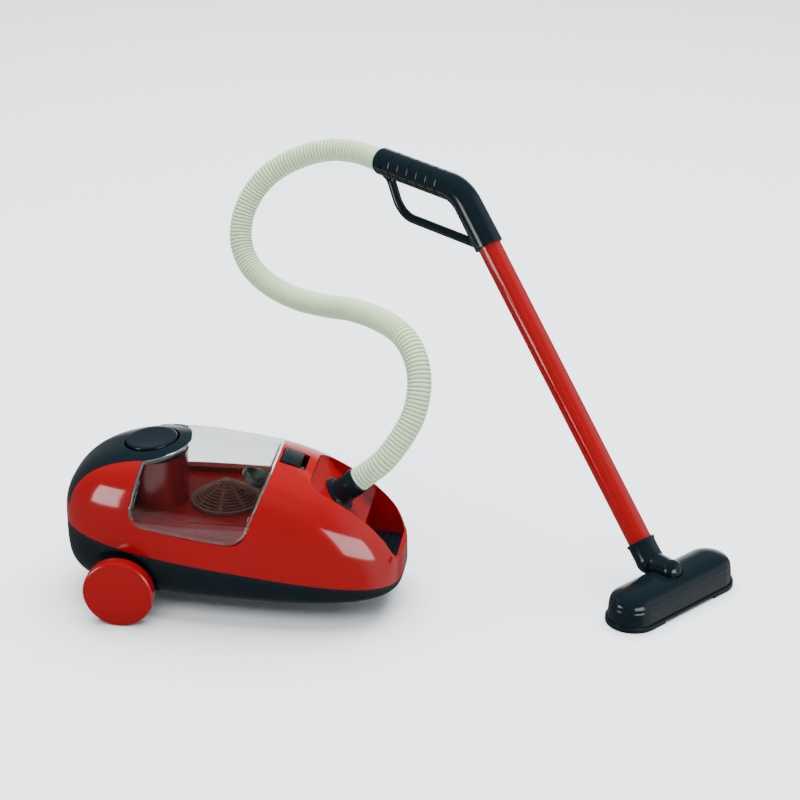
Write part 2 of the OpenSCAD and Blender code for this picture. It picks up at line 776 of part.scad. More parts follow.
// Dust chamber
module tower(from_z) {
  intersection() {
    translate([button_x, 0, from_z]) difference() {
      cylinder(r = tower_r, h = tower_top_z - from_z);
      translate([0, 0, -overrun]) cylinder(r = tower_r - tray_t, h = tower_top_z);
    }
    translate([tray_rear_x, -tray_half, 0]) cube([tray_front_x, 2 * tray_half, bay_top]);
  }
}
module dust_tray() {
  span = tray_front_x - tray_rear_x;
  color(red) in_canister() difference() {
    union() {
      translate([0, 0, tray_z - tray_t]) linear_extrude(tray_t + tray_rim)
        polygon(rounded([[tray_rear_x, -tray_half, tray_r], [tray_front_x, -tray_half, tray_r],
          [tray_front_x, tray_half, tray_r], [tray_rear_x, tray_half, tray_r]]));
      tower(tray_z - tray_t / 2);
      translate([tray_front_x - tray_t, -front_half, tray_z - tray_t])
        cube([tray_t, 2 * front_half, front_top_z - tray_z + tray_t]);
      for (x = tray_leg_x, y = [-tray_leg_y, tray_leg_y])
        translate([x, y, tray_leg_z]) cylinder(r = tray_leg_r, h = tray_z - tray_leg_z - tray_t / 2);
    }
    difference() {
      translate([tray_rear_x + tray_t, tray_t - tray_half, tray_z])
        cube([span - 2 * tray_t, 2 * (tray_half - tray_t), tray_rim + overrun]);
      tower(tray_z - overrun);
    }
    translate([fan_x, 0, 0]) cylinder(r = shaft_boss_r + gap, h = tray_z + overrun);
    in_duct() cylinder(r = duct_r + gap / 2, h = duct_l);
  }
}
module filter_cone() {
  foot = [cone_r - cone_wall, cone_rim - cone_wall / 2];
  tip = [cone_cap_r - cone_wall, cone_h - cone_wall / 2];
  half = [0, cone_wall * cone_spoke_share];
  color(clear) in_canister() translate([fan_x, 0, tray_z]) {
    rotate_extrude() translate([cone_r - 2 * cone_wall, 0]) square([2 * cone_wall, cone_rim]);
    translate([0, 0, cone_h - cone_wall]) cylinder(r = cone_cap_r, h = cone_wall);
    for (i = [1:cone_rings])
      rotate_extrude() translate(foot + (tip - foot) * i / (cone_rings + 1)) square(cone_wall, center = true);
    for (i = [0:cone_spokes - 1]) rotate([0, 0, 360 * i / cone_spokes])
      across(cone_spoke_w) polygon([foot - half, foot + half, tip + half, tip - half]);
  }
}
module duct_form(r, mouth_r, past) {
  in_duct() {
    cylinder(r = r, h = duct_l - flare_l);
    translate([0, 0, duct_l - flare_l]) cylinder(r1 = r, r2 = mouth_r, h = flare_l);
    if (past > 0) translate([0, 0, duct_l]) cylinder(r = mouth_r, h = past);
  }
  translate(duct_elbow) sphere(r = r + elbow_proud);
  in_seat() translate([0, 0, -wall - duct_drop]) cylinder(r = r, h = duct_drop + past);
}
module intake_duct() {
  color(dark) in_canister() difference() {
    duct_form(duct_r, flare_r, 0);
    duct_form(duct_bore, flare_r - spigot_wall, overrun);
  }
}
module bay_grille() {
  length = bay_front_x - seat_end_x - 2 * gap;
  color(dark) in_canister() translate([seat_end_x + gap, gap - bay_w / 2 + bay_r, bay_floor_z]) difference() {
    cube([length, bay_w - 2 * bay_r - 2 * gap, grille_t]);
    for (i = [1:grille_slots])
      translate([length * i / (grille_slots + 1) - grille_slot_w / 2, grille_edge, -overrun])
        cube([grille_slot_w, bay_w - 2 * bay_r - 2 * gap - 2 * grille_edge, grille_t + 2 * overrun]);
  }
}

// Motor and fan
module motor() {
  color(steel) in_canister() translate([fan_x, 0, motor_z]) difference() {
    union() {
      cylinder(d = motor_d, h = motor_l);
      cylinder(r = shaft_boss_r, h = tray_z - tray_t - motor_z);
    }
    translate([0, 0, motor_l / 2]) cylinder(r = shaft_r + running_fit, h = motor_l);
  }
}
module motor_shaft() {
  color(steel) in_canister() translate([fan_x, 0, motor_z + motor_l / 2 + gap])
    cylinder(r = shaft_r, h = fan_z + fan_h - motor_z - motor_l / 2 - gap);
}
module impeller() {
  color(grey) in_canister() translate([fan_x, 0, fan_z]) difference() {
    union() {
      cylinder(r = fan_r, h = fan_blade_t);
      cylinder(r = shaft_boss_r, h = fan_h);
      for (i = [0:fan_blades - 1]) rotate([0, 0, 360 * i / fan_blades])
        translate([shaft_boss_r - fan_blade_t, -fan_blade_t / 2, fan_blade_t / 2])
          cube([fan_r - shaft_boss_r, fan_blade_t, fan_h - fan_blade_t]);
    }
    translate([0, 0, -overrun]) cylinder(r = shaft_r + press_fit, h = fan_h + 2 * overrun);
  }
}
module motor_mount() {
  color(grey) in_canister() translate([fan_x, 0, mount_floor_z]) difference() {
    cylinder(r = motor_d / 2 + mount_wall, h = motor_z - mount_floor_z + motor_l / 4);
    translate([0, 0, motor_z - mount_floor_z]) cylinder(r = motor_d / 2 + running_fit, h = motor_l);
    translate([0, 0, -overrun]) cylinder(r = motor_d / 2 - mount_wall, h = motor_l * 2);
  }
}

// Batteries
module battery_box() {
  color(dark) in_canister() difference() {
    translate([box_x0 - box_wall, -box_half - box_wall, box_z])
      cube([box_len + 2 * box_wall, 2 * (box_half + box_wall), box_top - box_z + box_wall]);
    translate([box_x0, -box_half, box_z - overrun])
      cube([box_len, 2 * box_half, box_top - box_z + overrun]);
  }
}
function cell_y(i) = (i - (cell_count - 1) / 2) * cell_pitch;
module batteries() {
  color(copper) in_canister() for (i = [0:cell_count - 1])
    translate([cell_x, cell_y(i), cell_z]) rotate([0, 90, 0]) {
      cylinder(d = cell_d, h = cell_l - cell_tip);
      cylinder(r = cell_tip_r, h = cell_l);
    }
}
module battery_contacts() {
  color(steel) in_canister() for (i = [0:cell_count - 1], s = [0, 1])
    translate([s == 0 ? box_x0 + gap : box_x0 + box_len - gap, cell_y(i), cell_z])
      rotate([0, s == 0 ? 90 : -90, 0]) {
        translate([-contact_w / 2, -contact_w / 2, 0]) cube([contact_w, contact_w, contact_t]);
        cylinder(r = cell_tip_r, h = contact_room - 2 * gap);
      }
}
module battery_door() {
  fit = gap;
  color(dark) in_canister() difference() {
    union() {
      translate([box_x0 - door_edge + fit, fit - box_half - door_edge, door_z])
        cube([box_len + 2 * (door_edge - fit), 2 * (box_half + door_edge - fit), door_t - fit]);
      translate([door_screw_x, 0, door_z]) cylinder(r = door_tab_r, h = door_t - fit);
      for (x = [cell_x + cell_l / 4, cell_x + cell_l * 3 / 4])
        translate([x, fit - box_half, door_z])
          cube([door_rib_t, 2 * (box_half - fit), cell_z - cell_d / 2 - gap - door_z]);
    }
    translate([door_screw_x, 0, 0]) cylinder(r = screw_r + gap, h = box_z);
  }
}
module screw(length) {
  cylinder(r = screw_head_r, h = screw_head_h);
  cylinder(r = screw_r, h = length);
}
module battery_door_screw() {
  color(steel) in_canister() translate([door_screw_x, 0, door_z - screw_head_h]) screw(door_screw_l);
}
module case_screws() {
  color(steel) in_canister() for (p = screw_places)
    translate([p[0], p[1], p[2] - screw_head_h]) screw(screw_l);
}

// Running gear
module rear_axle() {
  color(steel) in_canister() translate([0, 0, wheel_r]) rotate([90, 0, 0])
    cylinder(r = axle_r, h = track_w - 2 * wheel_face_t - 2 * gap, center = true);
}
module wheel(side) {
  profile = concat([[0, 0], [hub_r, 0], [hub_r, hub_l]], [[wheel_r - wheel_edge_r, hub_l]],
    [for (a = [-75:15:0]) [wheel_r - wheel_edge_r + wheel_edge_r * cos(a),
      hub_l + wheel_edge_r + wheel_edge_r * sin(a)]],
    [for (a = [0:15:90]) [wheel_r - wheel_edge_r + wheel_edge_r * cos(a),
      hub_l + wheel_w - wheel_edge_r + wheel_edge_r * sin(a)]], [[0, hub_l + wheel_w]]);
  color(red) in_canister() translate([0, side * (wheel_in_y - hub_l), wheel_r])
    rotate([-side * 90, 0, 0]) difference() {
      rotate_extrude() polygon(profile);
      translate([0, 0, -overrun])
        cylinder(r = axle_r + running_fit, h = hub_l + wheel_w - wheel_face_t + overrun);
    }
}
module wheel_left() {
  wheel(1);
}
module wheel_right() {
  wheel(-1);
}
module caster_fork() {
  cheek_in = caster_wheel_w / 2 + gap;
  cheek_out = cheek_in + caster_cheek_t;
  rear_x = caster_x - caster_trail - caster_cheek_w;
  cheek_low = caster_r - caster_cheek_w;
  color(dark) in_canister() difference() {
    union() {
      translate([caster_x, 0, caster_top]) cylinder(r = caster_boss_r, h = caster_crown_t);
      translate([rear_x, -cheek_out, caster_top])
        cube([caster_x - rear_x, 2 * cheek_out, caster_crown_t]);
      translate([caster_x, 0, caster_top])
        cylinder(r = caster_pin_r, h = caster_boss_z - wall - gap - caster_top);
      for (s = [-1, 1]) translate([0, s * (cheek_in + caster_cheek_t / 2), 0]) across(caster_cheek_t)
        polygon([[rear_x, cheek_low], [rear_x + 2 * caster_cheek_w, cheek_low],
          [caster_x, caster_top + caster_crown_t], [rear_x, caster_top + caster_crown_t]]);
    }
    translate([caster_x - caster_trail, 0, caster_r]) rotate([90, 0, 0])
      cylinder(r = caster_axle_r + press_fit, h = caster_d * 2, center = true);
  }
}
module caster_axle() {
  color(steel) in_canister() translate([caster_x - caster_trail, 0, caster_r]) rotate([90, 0, 0])
    cylinder(r = caster_axle_r, h = caster_wheel_w + 2 * (gap + caster_cheek_t), center = true);
}
module caster_wheel() {
  edge = caster_wheel_w / 2;
  color(grey) in_canister() translate([caster_x - caster_trail, 0, caster_r]) rotate([90, 0, 0])
    difference() {
      rotate_extrude() polygon([[0, -edge], [caster_r - caster_bevel, -edge], [caster_r, caster_bevel - edge],
        [caster_r, edge - caster_bevel], [caster_r - caster_bevel, edge], [0, edge]]);
      cylinder(r = caster_axle_r + running_fit, h = caster_d, center = true);
    }
}

// Cuff and hose
module hose_cuff() {
  color(dark) in_canister() in_seat() difference() {
    union() {
      cylinder(d = cuff_flange_d, h = cuff_flange_t);
      cylinder(r = cuff_r, h = cuff_flange_t + cuff_l);
      translate([0, 0, -wall - spigot_l]) cylinder(r = duct_bore - press_fit, h = wall + spigot_l + overrun);
    }
    translate([0, 0, cuff_flange_t]) cylinder(d = hose_bore, h = cuff_l + overrun);
    translate([0, 0, -wall - spigot_l - overrun])
      cylinder(r = duct_bore - spigot_wall, h = wall + spigot_l + cuff_flange_t + 2 * overrun);
  }
}
hose_fore = [sin(nozzle_turn), -cos(nozzle_turn), 0];
grip_z = knuckle_z + wand_top * cos(wand_lean);
grip_corner_x = -arm_l - wand_top * sin(wand_lean);
hose_start = [nozzle_x, nozzle_y, grip_z] + hose_fore * (grip_corner_x - grip_l);
hose_end = [canister_x, canister_y, 0] + cuff_end;
hose_knots = concat([hose_start - hose_fore * hose_d], hose_points, [hose_end + seat_axis * hose_d]);
function knot_slope(i) = i == 0 ? -hose_fore * norm(hose_knots[1] - hose_knots[0])
  : i == len(hose_knots) - 1 ? -seat_axis * norm(hose_knots[i] - hose_knots[i - 1])
  : (hose_knots[i + 1] - hose_knots[i - 1]) / 2;
function on_knots(i, t) = (2 * t * t * t - 3 * t * t + 1) * hose_knots[i]
  + (t * t * t - 2 * t * t + t) * knot_slope(i)
  + (3 * t * t - 2 * t * t * t) * hose_knots[i + 1] + (t * t * t - t * t) * knot_slope(i + 1);
hose_line = concat([hose_start], [for (i = [0:len(hose_knots) - 2], k = [0:hose_steps - 1])
  on_knots(i, k / hose_steps)], [hose_knots[len(hose_knots) - 1], hose_end]);
hose_along = [for (i = 0, s = 0; i < len(hose_line); i = i + 1,
  s = i < len(hose_line) ? s + norm(hose_line[i] - hose_line[i - 1]) : s) s];
hose_l = hose_along[len(hose_along) - 1];
hose_tables = [for (c = [0:2]) [for (i = [0:len(hose_line) - 1]) [hose_along[i], hose_line[i][c]]]];
function hose_at(s) = [for (c = [0:2]) lookup(s, hose_tables[c])];
function square_ends(points) = [for (i = [0:len(points) - 1]) i == 0 ? -hose_fore
  : i == len(points) - 1 ? -seat_axis : path_tangent(points, i)];
function sides_along(t) = [for (i = 0, s = carried([0, 0, 1], t[0]); i < len(t);
  i = i + 1, s = i < len(t) ? carried(s, t[i]) : s) s];
module hose() {
  rings = 2 * hose_ribs;
  outer = [for (i = [0:rings]) hose_at(hose_l * i / rings)];
  inner = [for (i = [0:hose_bore_rings]) hose_at(hose_l * i / hose_bore_rings)];
  outer_t = square_ends(outer);
  inner_t = square_ends(inner);
  outer_s = sides_along(outer_t);
  inner_s = sides_along(inner_t);
  points = concat(
    [for (i = [0:rings]) each tube_ring(outer[i], outer_t[i], outer_s[i],
      hose_d / 2 - (i % 2 == 0 ? 0 : hose_rib_depth), hose_sides)],
    [for (i = [0:hose_bore_rings])
      each tube_ring(inner[i], inner_t[i], inner_s[i], hose_bore / 2, hose_sides)]);
  n = (rings + 1) * hose_sides;
  o_last = rings * hose_sides;
  i_last = n + hose_bore_rings * hose_sides;
  caps = [for (j = [0:hose_sides - 1], k = [0:3])
    let (m = (j + 1) % hose_sides)
    [[j, m, n + m], [j, n + m, n + j], [o_last + j, i_last + m, o_last + m],
      [o_last + j, i_last + j, i_last + m]][k]];
  color(pale) polyhedron(points, concat(loop_faces(rings + 1, hose_sides, 0, false),
    loop_faces(hose_bore_rings + 1, hose_sides, n, true), caps), convexity = 12);
}

// Wand and handle
module in_wand() {
  translate([-arm_l, 0, knuckle_z]) rotate([0, -wand_lean, 0]) children();
}
module wand_tube() {
  color(red) in_nozzle() in_wand() translate([0, 0, wand_start]) difference() {
    cylinder(d = wand_d, h = wand_l + wand_insert - wand_start);
    translate([0, 0, -overrun]) cylinder(r = wand_d / 2 - wand_wall, h = wand_l + wand_insert + overrun);
  }
}
module guard_loop() {
  z = grip_z - guard_drop;
  corner = grip_corner_x - grip_l + guard_lead;
  tangent = guard_bend_r * tan(guard_lean / 2);
  sleeve_x = -arm_l - (z - knuckle_z) * tan(wand_lean);
  rise = guard_drop - grip_d / 4;
  translate([corner + tangent, 0, z]) rotate([0, 90, 0]) translate([0, 0, -bend_lap])
    cylinder(r = guard_r, h = sleeve_x - corner - tangent + bend_lap);
  translate([corner + tangent, 0, z + guard_bend_r]) rotate([90, 0, 0]) rotate([0, 0, 270 - guard_lean])
    rotate_extrude(angle = guard_lean) translate([guard_bend_r, 0]) circle(guard_r - bend_fine);
  translate([corner, 0, z]) rotate([0, guard_lean - 90, 0]) translate([0, 0, tangent - bend_lap])
    cylinder(r = guard_r, h = rise / sin(guard_lean) - tangent + bend_lap);
}
module handle() {
  grip_r = grip_d / 2;
  grip_end_x = grip_corner_x - grip_l;
  color(dark) in_nozzle() difference() {
    union() {
      in_wand() translate([0, 0, wand_l])
        cylinder(r1 = handle_sleeve_r, r2 = grip_r, h = handle_corner - handle_tangent + bend_lap);
      translate([grip_corner_x - handle_tangent, 0, grip_z - handle_bend_r]) rotate([90, 0, 0])
        rotate([0, 0, wand_lean]) rotate_extrude(angle = handle_turn)
          translate([handle_bend_r, 0]) circle(grip_r - bend_fine);
      translate([grip_end_x, 0, grip_z]) rotate([0, 90, 0])
        cylinder(r = grip_r, h = grip_l - handle_tangent + bend_lap);
      guard_loop();
    }
    in_wand() translate([0, 0, wand_l - wand_insert])
      cylinder(r = wand_d / 2 + press_fit, h = 2 * wand_insert + gap);
    translate([grip_end_x - overrun, 0, grip_z]) rotate([0, 90, 0])
      cylinder(d = hose_bore, h = grip_bore_l + overrun);
    for (i = [0:groove_count - 1])
      translate([grip_end_x + groove_first + groove_pitch * i, 0, grip_z]) rotate([0, 90, 0]) difference() {
        cylinder(r = grip_r + overrun, h = groove_w);
        translate([0, 0, -overrun]) cylinder(r = grip_r - groove_depth, h = groove_w + 2 * overrun);
      }
  }
}

// Floor nozzle: x points forward and y along the nozzle
module stadium(width, length) {
  square([width, length - width], center = true);
  for (s = [-1, 1]) translate([0, s * (length - width) / 2]) circle(d = width);
}
function stadium_ring(z, r, spread) = [for (s = [1, -1], k = [0:hood_points])
  let (a = (s > 0 ? 0 : 180) + 180 * k / hood_points)
  [r * cos(a), s * spread + r * sin(a), z]];
function hood_rings(inset) = let (r0 = nozzle_w / 2 - sole_edge - inset, r1 = r0 - hood_draft,
  spread = (nozzle_l - nozzle_w) / 2, top = nozzle_h - inset)
  concat([stadium_ring(hood_z, r0, spread)], [for (k = [0:hood_dome_rings])
    let (c = 1 - (1 - hood_ridge_share) * (1 - cos(90 * k / hood_dome_rings)))
    stadium_ring(hood_crease_z + (top - hood_crease_z) * rounded_end((c - hood_ridge_share)
      / (1 - hood_ridge_share), hood_dome_n), r1 * c, spread)]);
module hood_solid(inset) {
  rings = hood_rings(inset);
  sides = len(rings[0]);
  last = (len(rings) - 1) * sides;
  polyhedron([for (r = rings, p = r) p], concat(loop_faces(len(rings), sides, 0, false),
    [[for (k = [0:sides - 1]) k], [for (k = [sides - 1:-1:0]) last + k]]), convexity = 6);
}
module hood_shell() {
  outer = hood_rings(0);
  inner = hood_rings(hood_wall);
  sides = len(outer[0]);
  n = len(outer) * sides;
  last = n - sides;
  rim = [for (j = [0:sides - 1], k = [0, 1])
    let (m = (j + 1) % sides)
    k == 0 ? [j, m, n + m] : [j, n + m, n + j]];
  faces = concat(loop_faces(len(outer), sides, 0, false), loop_faces(len(inner), sides, n, true), rim,
    [[for (k = [sides - 1:-1:0]) last + k], [for (k = [0:sides - 1]) n + last + k]]);
  polyhedron(concat([for (r = outer, p = r) p], [for (r = inner, p = r) p]), faces, convexity = 8);
}
module neck_form(grow) {
  translate([0, 0, knuckle_z]) sphere(r = knuckle_r + grow);
  translate([-arm_l, 0, knuckle_z]) sphere(r = elbow_r + grow);
  translate([-arm_l, 0, knuckle_z]) rotate([0, 90, 0]) cylinder(r = neck_arm_r + grow, h = arm_l);
}
module nozzle_neck() {
  color(dark) in_nozzle() difference() {
    union() {
      neck_form(0);
      in_wand() cylinder(r = neck_sleeve_r, h = neck_sleeve_l);
    }
    in_wand() translate([0, 0, wand_start]) cylinder(r = wand_d / 2 + press_fit, h = neck_sleeve_l);
    in_wand() cylinder(r = neck_bore, h = neck_sleeve_l);
    translate([-arm_l, 0, knuckle_z]) sphere(r = neck_bore + elbow_proud);
    translate([-arm_l, 0, knuckle_z]) rotate([0, 90, 0]) cylinder(r = neck_bore, h = arm_l);
    translate([0, 0, knuckle_z]) sphere(r = neck_bore + elbow_proud);
    translate([0, 0, knuckle_z - knuckle_d]) cylinder(r = neck_mouth_r, h = knuckle_d);
    translate([neck_pin_x, 0, knuckle_z]) rotate([0, 90, 0]) difference() {
      cylinder(r = neck_arm_r + overrun, h = 2 * (neck_pin_r + gap), center = true);
      cylinder(r = neck_arm_r - neck_groove, h = 2 * neck_arm_r, center = true);
    }
  }
}
module nozzle_hood() {
  color(dark) in_nozzle() difference() {
    union() {
      hood_shell();
      intersection() {
        hood_solid(hood_wall / 2);
        union() {
          neck_form(seat_clear + hood_wall);
          translate([neck_pin_x, 0, neck_pin_boss_z]) cylinder(r = neck_pin_boss_r, h = nozzle_h);
        }
      }
      for (s = [-1, 1]) translate([0, s * nozzle_screw_y, hood_z])
        cylinder(r = nozzle_boss_r, h = nozzle_h - hood_wall / 2 - hood_z);
    }
    neck_form(seat_clear);
    translate([0, 0, neck_pin_boss_z]) cylinder(r = neck_bore, h = knuckle_z - neck_pin_boss_z);
    translate([neck_pin_x, 0, 0]) cylinder(r = neck_pin_r + press_fit, h = nozzle_h);
    for (s = [-1, 1]) translate([0, s * nozzle_screw_y, 0])
      cylinder(r = screw_r + press_fit, h = nozzle_screw_l + gap);
  }
}
module nozzle_sole() {
  slot_l = nozzle_l - nozzle_w - slot_margin;
  color(dark) in_nozzle() difference() {
    union() {
      translate([0, 0, sole_z]) linear_extrude(sole_t) stadium(nozzle_w, nozzle_l);
      linear_extrude(sole_z) difference() {
        stadium(nozzle_w, nozzle_l);
        square([nozzle_w + overrun, 2 * foot_inner], center = true);
      }
    }
    translate([-slot_w / 2, -slot_l / 2, 0]) cube([slot_w, slot_l, hood_z + overrun]);
    for (s = [-1, 1]) translate([0, s * nozzle_screw_y, -overrun]) {
      cylinder(r = screw_r + gap, h = hood_z + 2 * overrun);
      cylinder(r = screw_head_r + gap, h = sole_z + overrun);
    }
  }
}
module neck_pin() {
  color(steel) in_nozzle() translate([neck_pin_x, 0, neck_pin_boss_z])
    cylinder(r = neck_pin_r, h = knuckle_z - neck_arm_r + neck_groove - gap - neck_pin_boss_z);
}
module nozzle_screws() {
  color(steel) in_nozzle() for (s = [-1, 1])
    translate([0, s * nozzle_screw_y, sole_z - screw_head_h]) screw(nozzle_screw_l - sole_z + screw_head_h);
}
base_tub();
upper_shell();
tail_cover();
power_button();
button_spring();
switch();
dust_lid();
lid_latch();
latch_spring();
dust_tray();
filter_cone();
intake_duct();
bay_grille();
motor();
motor_shaft();
impeller();
motor_mount();
battery_box();
batteries();
battery_contacts();
battery_door();
battery_door_screw();
rear_axle();
wheel_left();
wheel_right();
caster_fork();
caster_axle();
caster_wheel();
case_screws();
hose_cuff();
hose();
handle();
wand_tube();
nozzle_neck();
nozzle_hood();
nozzle_sole();
neck_pin();
nozzle_screws();
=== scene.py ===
import math

import bmesh
import bpy
from bpy.props import FloatProperty, FloatVectorProperty, IntProperty, PointerProperty
from bpy.types import Operator, Panel, PropertyGroup
from mathutils import Matrix, Vector


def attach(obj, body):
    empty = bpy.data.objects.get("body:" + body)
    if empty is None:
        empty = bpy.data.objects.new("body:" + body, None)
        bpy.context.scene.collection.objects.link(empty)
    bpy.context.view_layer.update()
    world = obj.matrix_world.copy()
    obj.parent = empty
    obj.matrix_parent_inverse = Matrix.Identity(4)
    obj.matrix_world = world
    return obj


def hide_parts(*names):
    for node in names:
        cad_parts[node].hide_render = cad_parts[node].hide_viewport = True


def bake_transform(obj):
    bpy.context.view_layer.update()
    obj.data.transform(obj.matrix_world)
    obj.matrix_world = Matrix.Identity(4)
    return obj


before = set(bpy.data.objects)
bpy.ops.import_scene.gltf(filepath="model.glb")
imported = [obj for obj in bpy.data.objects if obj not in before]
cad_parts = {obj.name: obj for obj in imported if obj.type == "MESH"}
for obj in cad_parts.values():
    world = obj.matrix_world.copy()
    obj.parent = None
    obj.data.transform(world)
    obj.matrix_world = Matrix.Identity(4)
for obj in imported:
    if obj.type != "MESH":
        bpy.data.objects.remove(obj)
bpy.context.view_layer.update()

bl_info = {
    "name": "Toy vacuum cleaner",
    "version": (1, 0, 0),
    "blender": (4, 5, 0),
    "location": "View3D > Sidebar > Toy vacuum",
    "description": "Builds the casings, lid, hose, wand and floor nozzle of a toy vacuum cleaner",
    "category": "Object",
}

MM = 0.001
MERGE = 1e-7
SMOOTH_ANGLE = math.radians(32)


# Settings

def length(label, about, millimetres):
    """A length in metres, given in millimetres."""
    return FloatProperty(name=label, description=about, default=millimetres * MM, unit="LENGTH", precision=5)


def angle(label, about, degrees):
    """An angle, given in degrees."""
    return FloatProperty(name=label, description=about, default=math.radians(degrees), subtype="ANGLE")


def colour(label, about, values):
    """A colour of a finish, as scene linear values."""
    return FloatVectorProperty(name=label, description=about, default=values, subtype="COLOR",
                               size=3, min=0.0, max=1.0)


class CasingSizes(PropertyGroup):
    """Sizes of the two casings, from the rear axle at floor level."""
    place_x: length("Axle X", "Place of the rear axle along the object", -270)
    place_y: length("Axle Y", "Place of the canister's middle across the object", -120)
    tail_l: length("Tail", "Distance from the rear axle back to the tail", 70)
    nose_l: length("Nose", "Distance from the rear axle forward to the nose", 278)
    wide_x: length("Widest section", "Distance from the rear axle to the widest section", 100)
    body_w: length("Width", "Width of the casing over the seam", 156)
    seam_rear_z: length("Seam at the tail", "Height of the seam at the tail", 84)
    seam_front_z: length("Seam at the nose", "Height of the seam at the nose", 42)
    dome_h: length("Dome", "Height of the red casing above the seam", 103)
    nose_drop: length("Nose drop", "How much lower the dome is at the nose", 54)
    drop_x: length("Start of the drop", "Where the dome starts to fall towards the nose", 130)
    belly_z: length("Belly", "Height of the flat underside", 17)
    wall: length("Wall", "Wall of both casings", 2.5)
    seam_gap: length("Seam gap", "Gap along the seam", 0.2)


class LidSizes(PropertyGroup):
    """Sizes of the clear lid, the tail cover, the power button and the latch."""
    rear_x: length("Rear end", "Rear end of the lid's lower edge, from the axle", 6)
    front_x: length("Front end", "Front end of the lid's lower edge, from the axle", 123)
    sill: length("Sill", "Height of the lid's lower edge above the seam", 30)
    rear_lean: angle("Rear lean", "Lean of the lid's rear edge", 12.7)
    front_lean: angle("Front lean", "Lean of the lid's front edge", 21.8)
    corner_r: length("Corner radius", "Radius of the lid's lower corners", 17)
    wall: length("Lid wall", "Wall of the clear lid", 2.2)
    gap: length("Lid gap", "Gap round the lid", 0.5)
    bead_w: length("Bead width", "Width of the raised bead along the lid's edge", 3.6)
    bead_h: length("Bead height", "Height of the raised bead along the lid's edge", 0.9)
    tail_r: length("Tail cover radius", "Radius of the tail cover's round front end", 41)
    tail_end_w: length("Tail cover end", "Half width of the tail cover at the tail", 34)
    tail_low_z: length("Tail cover foot", "Lowest point of the tail cover", 106)
    tail_gap: length("Tail cover gap", "Gap round the tail cover", 0.3)
    button_x: length("Button place", "Distance from the axle to the power button", 20)
    button_d: length("Button diameter", "Diameter of the power button", 52)
    button_t: length("Button thickness", "Thickness of the power button", 6.9)
    button_proud: length("Button height", "How far the power button stands proud", 0.4)
    button_tilt: angle("Button tilt", "How far the power button leans back", 5)
    well_gap: length("Well gap", "Gap round the power button", 2.4)
    well_bevel: length("Well bevel", "Depth of the bevel round the power button", 0.6)
    well_depth: length("Well depth", "Depth of the well under the power button", 16)
    latch_x: length("Latch place", "Distance from the axle to the latch", 164)
    latch_l: length("Latch length", "Length of the latch along its slide", 20)
    latch_w: length("Latch width", "Width of the latch", 30)
    latch_travel: length("Latch travel", "Travel of the latch", 5)
    latch_play: length("Latch play", "Gap round the latch", 1)
    latch_depth: length("Latch depth", "How deep the latch reaches under the casing", 6.5)
    latch_proud: length("Latch height", "How far the latch stands proud", 1.2)
    latch_rib_r: length("Latch rib", "Radius of a rib on the latch", 1.1)
    latch_ribs: IntProperty(name="Latch ribs", description="Number of ribs on the latch", default=5)


class BaySizes(PropertyGroup):
    """Sizes of the open bay in the nose and of the hose cuff in it."""
    rear_x: length("Rear end", "Rear end of the bay, from the axle", 187)
    front_x: length("Front end", "Front end of the bay, from the axle", 273)
    width: length("Width", "Width of the bay", 80)
    corner_r: length("Corner radius", "Radius of the bay's corners", 14)
    floor_z: length("Floor", "Height of the bay's floor", 54)
    seat_end_x: length("Seat end", "Where the sloping seat of the cuff ends", 237)
    lip_z: length("Lip", "Height of the nose's rim in front of the bay", 67)
    lip_lead: length("Lip lead", "How far the sides' front edges lean back", 12)
    lip_rise: length("Lip rise", "Height over which the sides' front edges lean", 25)
    seat_x: length("Cuff X", "Place of the cuff on its seat, from the axle", 210)
    seat_z: length("Cuff Z", "Height of the cuff on its seat", 118)
    cuff_lean: angle("Cuff lean", "Rise of the cuff's axis above level", 41)
    flange_d: length("Flange", "Diameter of the cuff's flange", 37)
    flange_t: length("Flange thickness", "Thickness of the cuff's flange", 3)
    barrel_r: length("Barrel", "Radius of the cuff's barrel", 13.5)
    barrel_l: length("Barrel length", "Length of the cuff's barrel", 24)
    plate_t: length("Floor plate", "Thickness of the dark plate on the bay's floor", 4)
    plate_gap: length("Plate gap", "Gap round the dark plate", 0.4)


class ChamberSizes(PropertyGroup):
    """Sizes of the ledge round the dust tray and of the duct that opens over it."""
    ledge_z: length("Ledge", "Height of the ledge", 108)
    ledge_t: length("Ledge thickness", "Thickness of the ledge", 1.4)
    ledge_lap: length("Ledge lap", "How far the ledge runs on past the lid's edge", 7)
    bite: length("Bite", "How deep the ledge sits in the casing's wall", 0.1)
    tray_rear_x: length("Tray rear", "Rear end of the tray's hole, from the axle", 13.7)
    tray_front_x: length("Tray front", "Front end of the tray's hole, from the axle", 146.3)
    tray_half: length("Tray half", "Half width of the tray's hole", 62.3)
    duct_r: length("Duct", "Radius of the duct", 8.8)
    duct_drop: length("Duct elbow", "Distance from the cuff's seat down to the duct's elbow", 12)
    duct_rise: angle("Duct rise", "Rise of the duct towards its mouth", 16)
    mouth_x: length("Mouth place", "Distance from the axle to the duct's mouth", 125)
    mouth_r: length("Mouth", "Radius of the ring round the duct's mouth", 13)
    mouth_bore: length("Mouth bore", "Radius of the opening in the mouth's ring", 9.4)
    mouth_h: length("Mouth height", "Height of the mouth's ring", 6)
    mouth_lean: angle("Mouth lean", "Lean of the mouth's ring from level", 38)


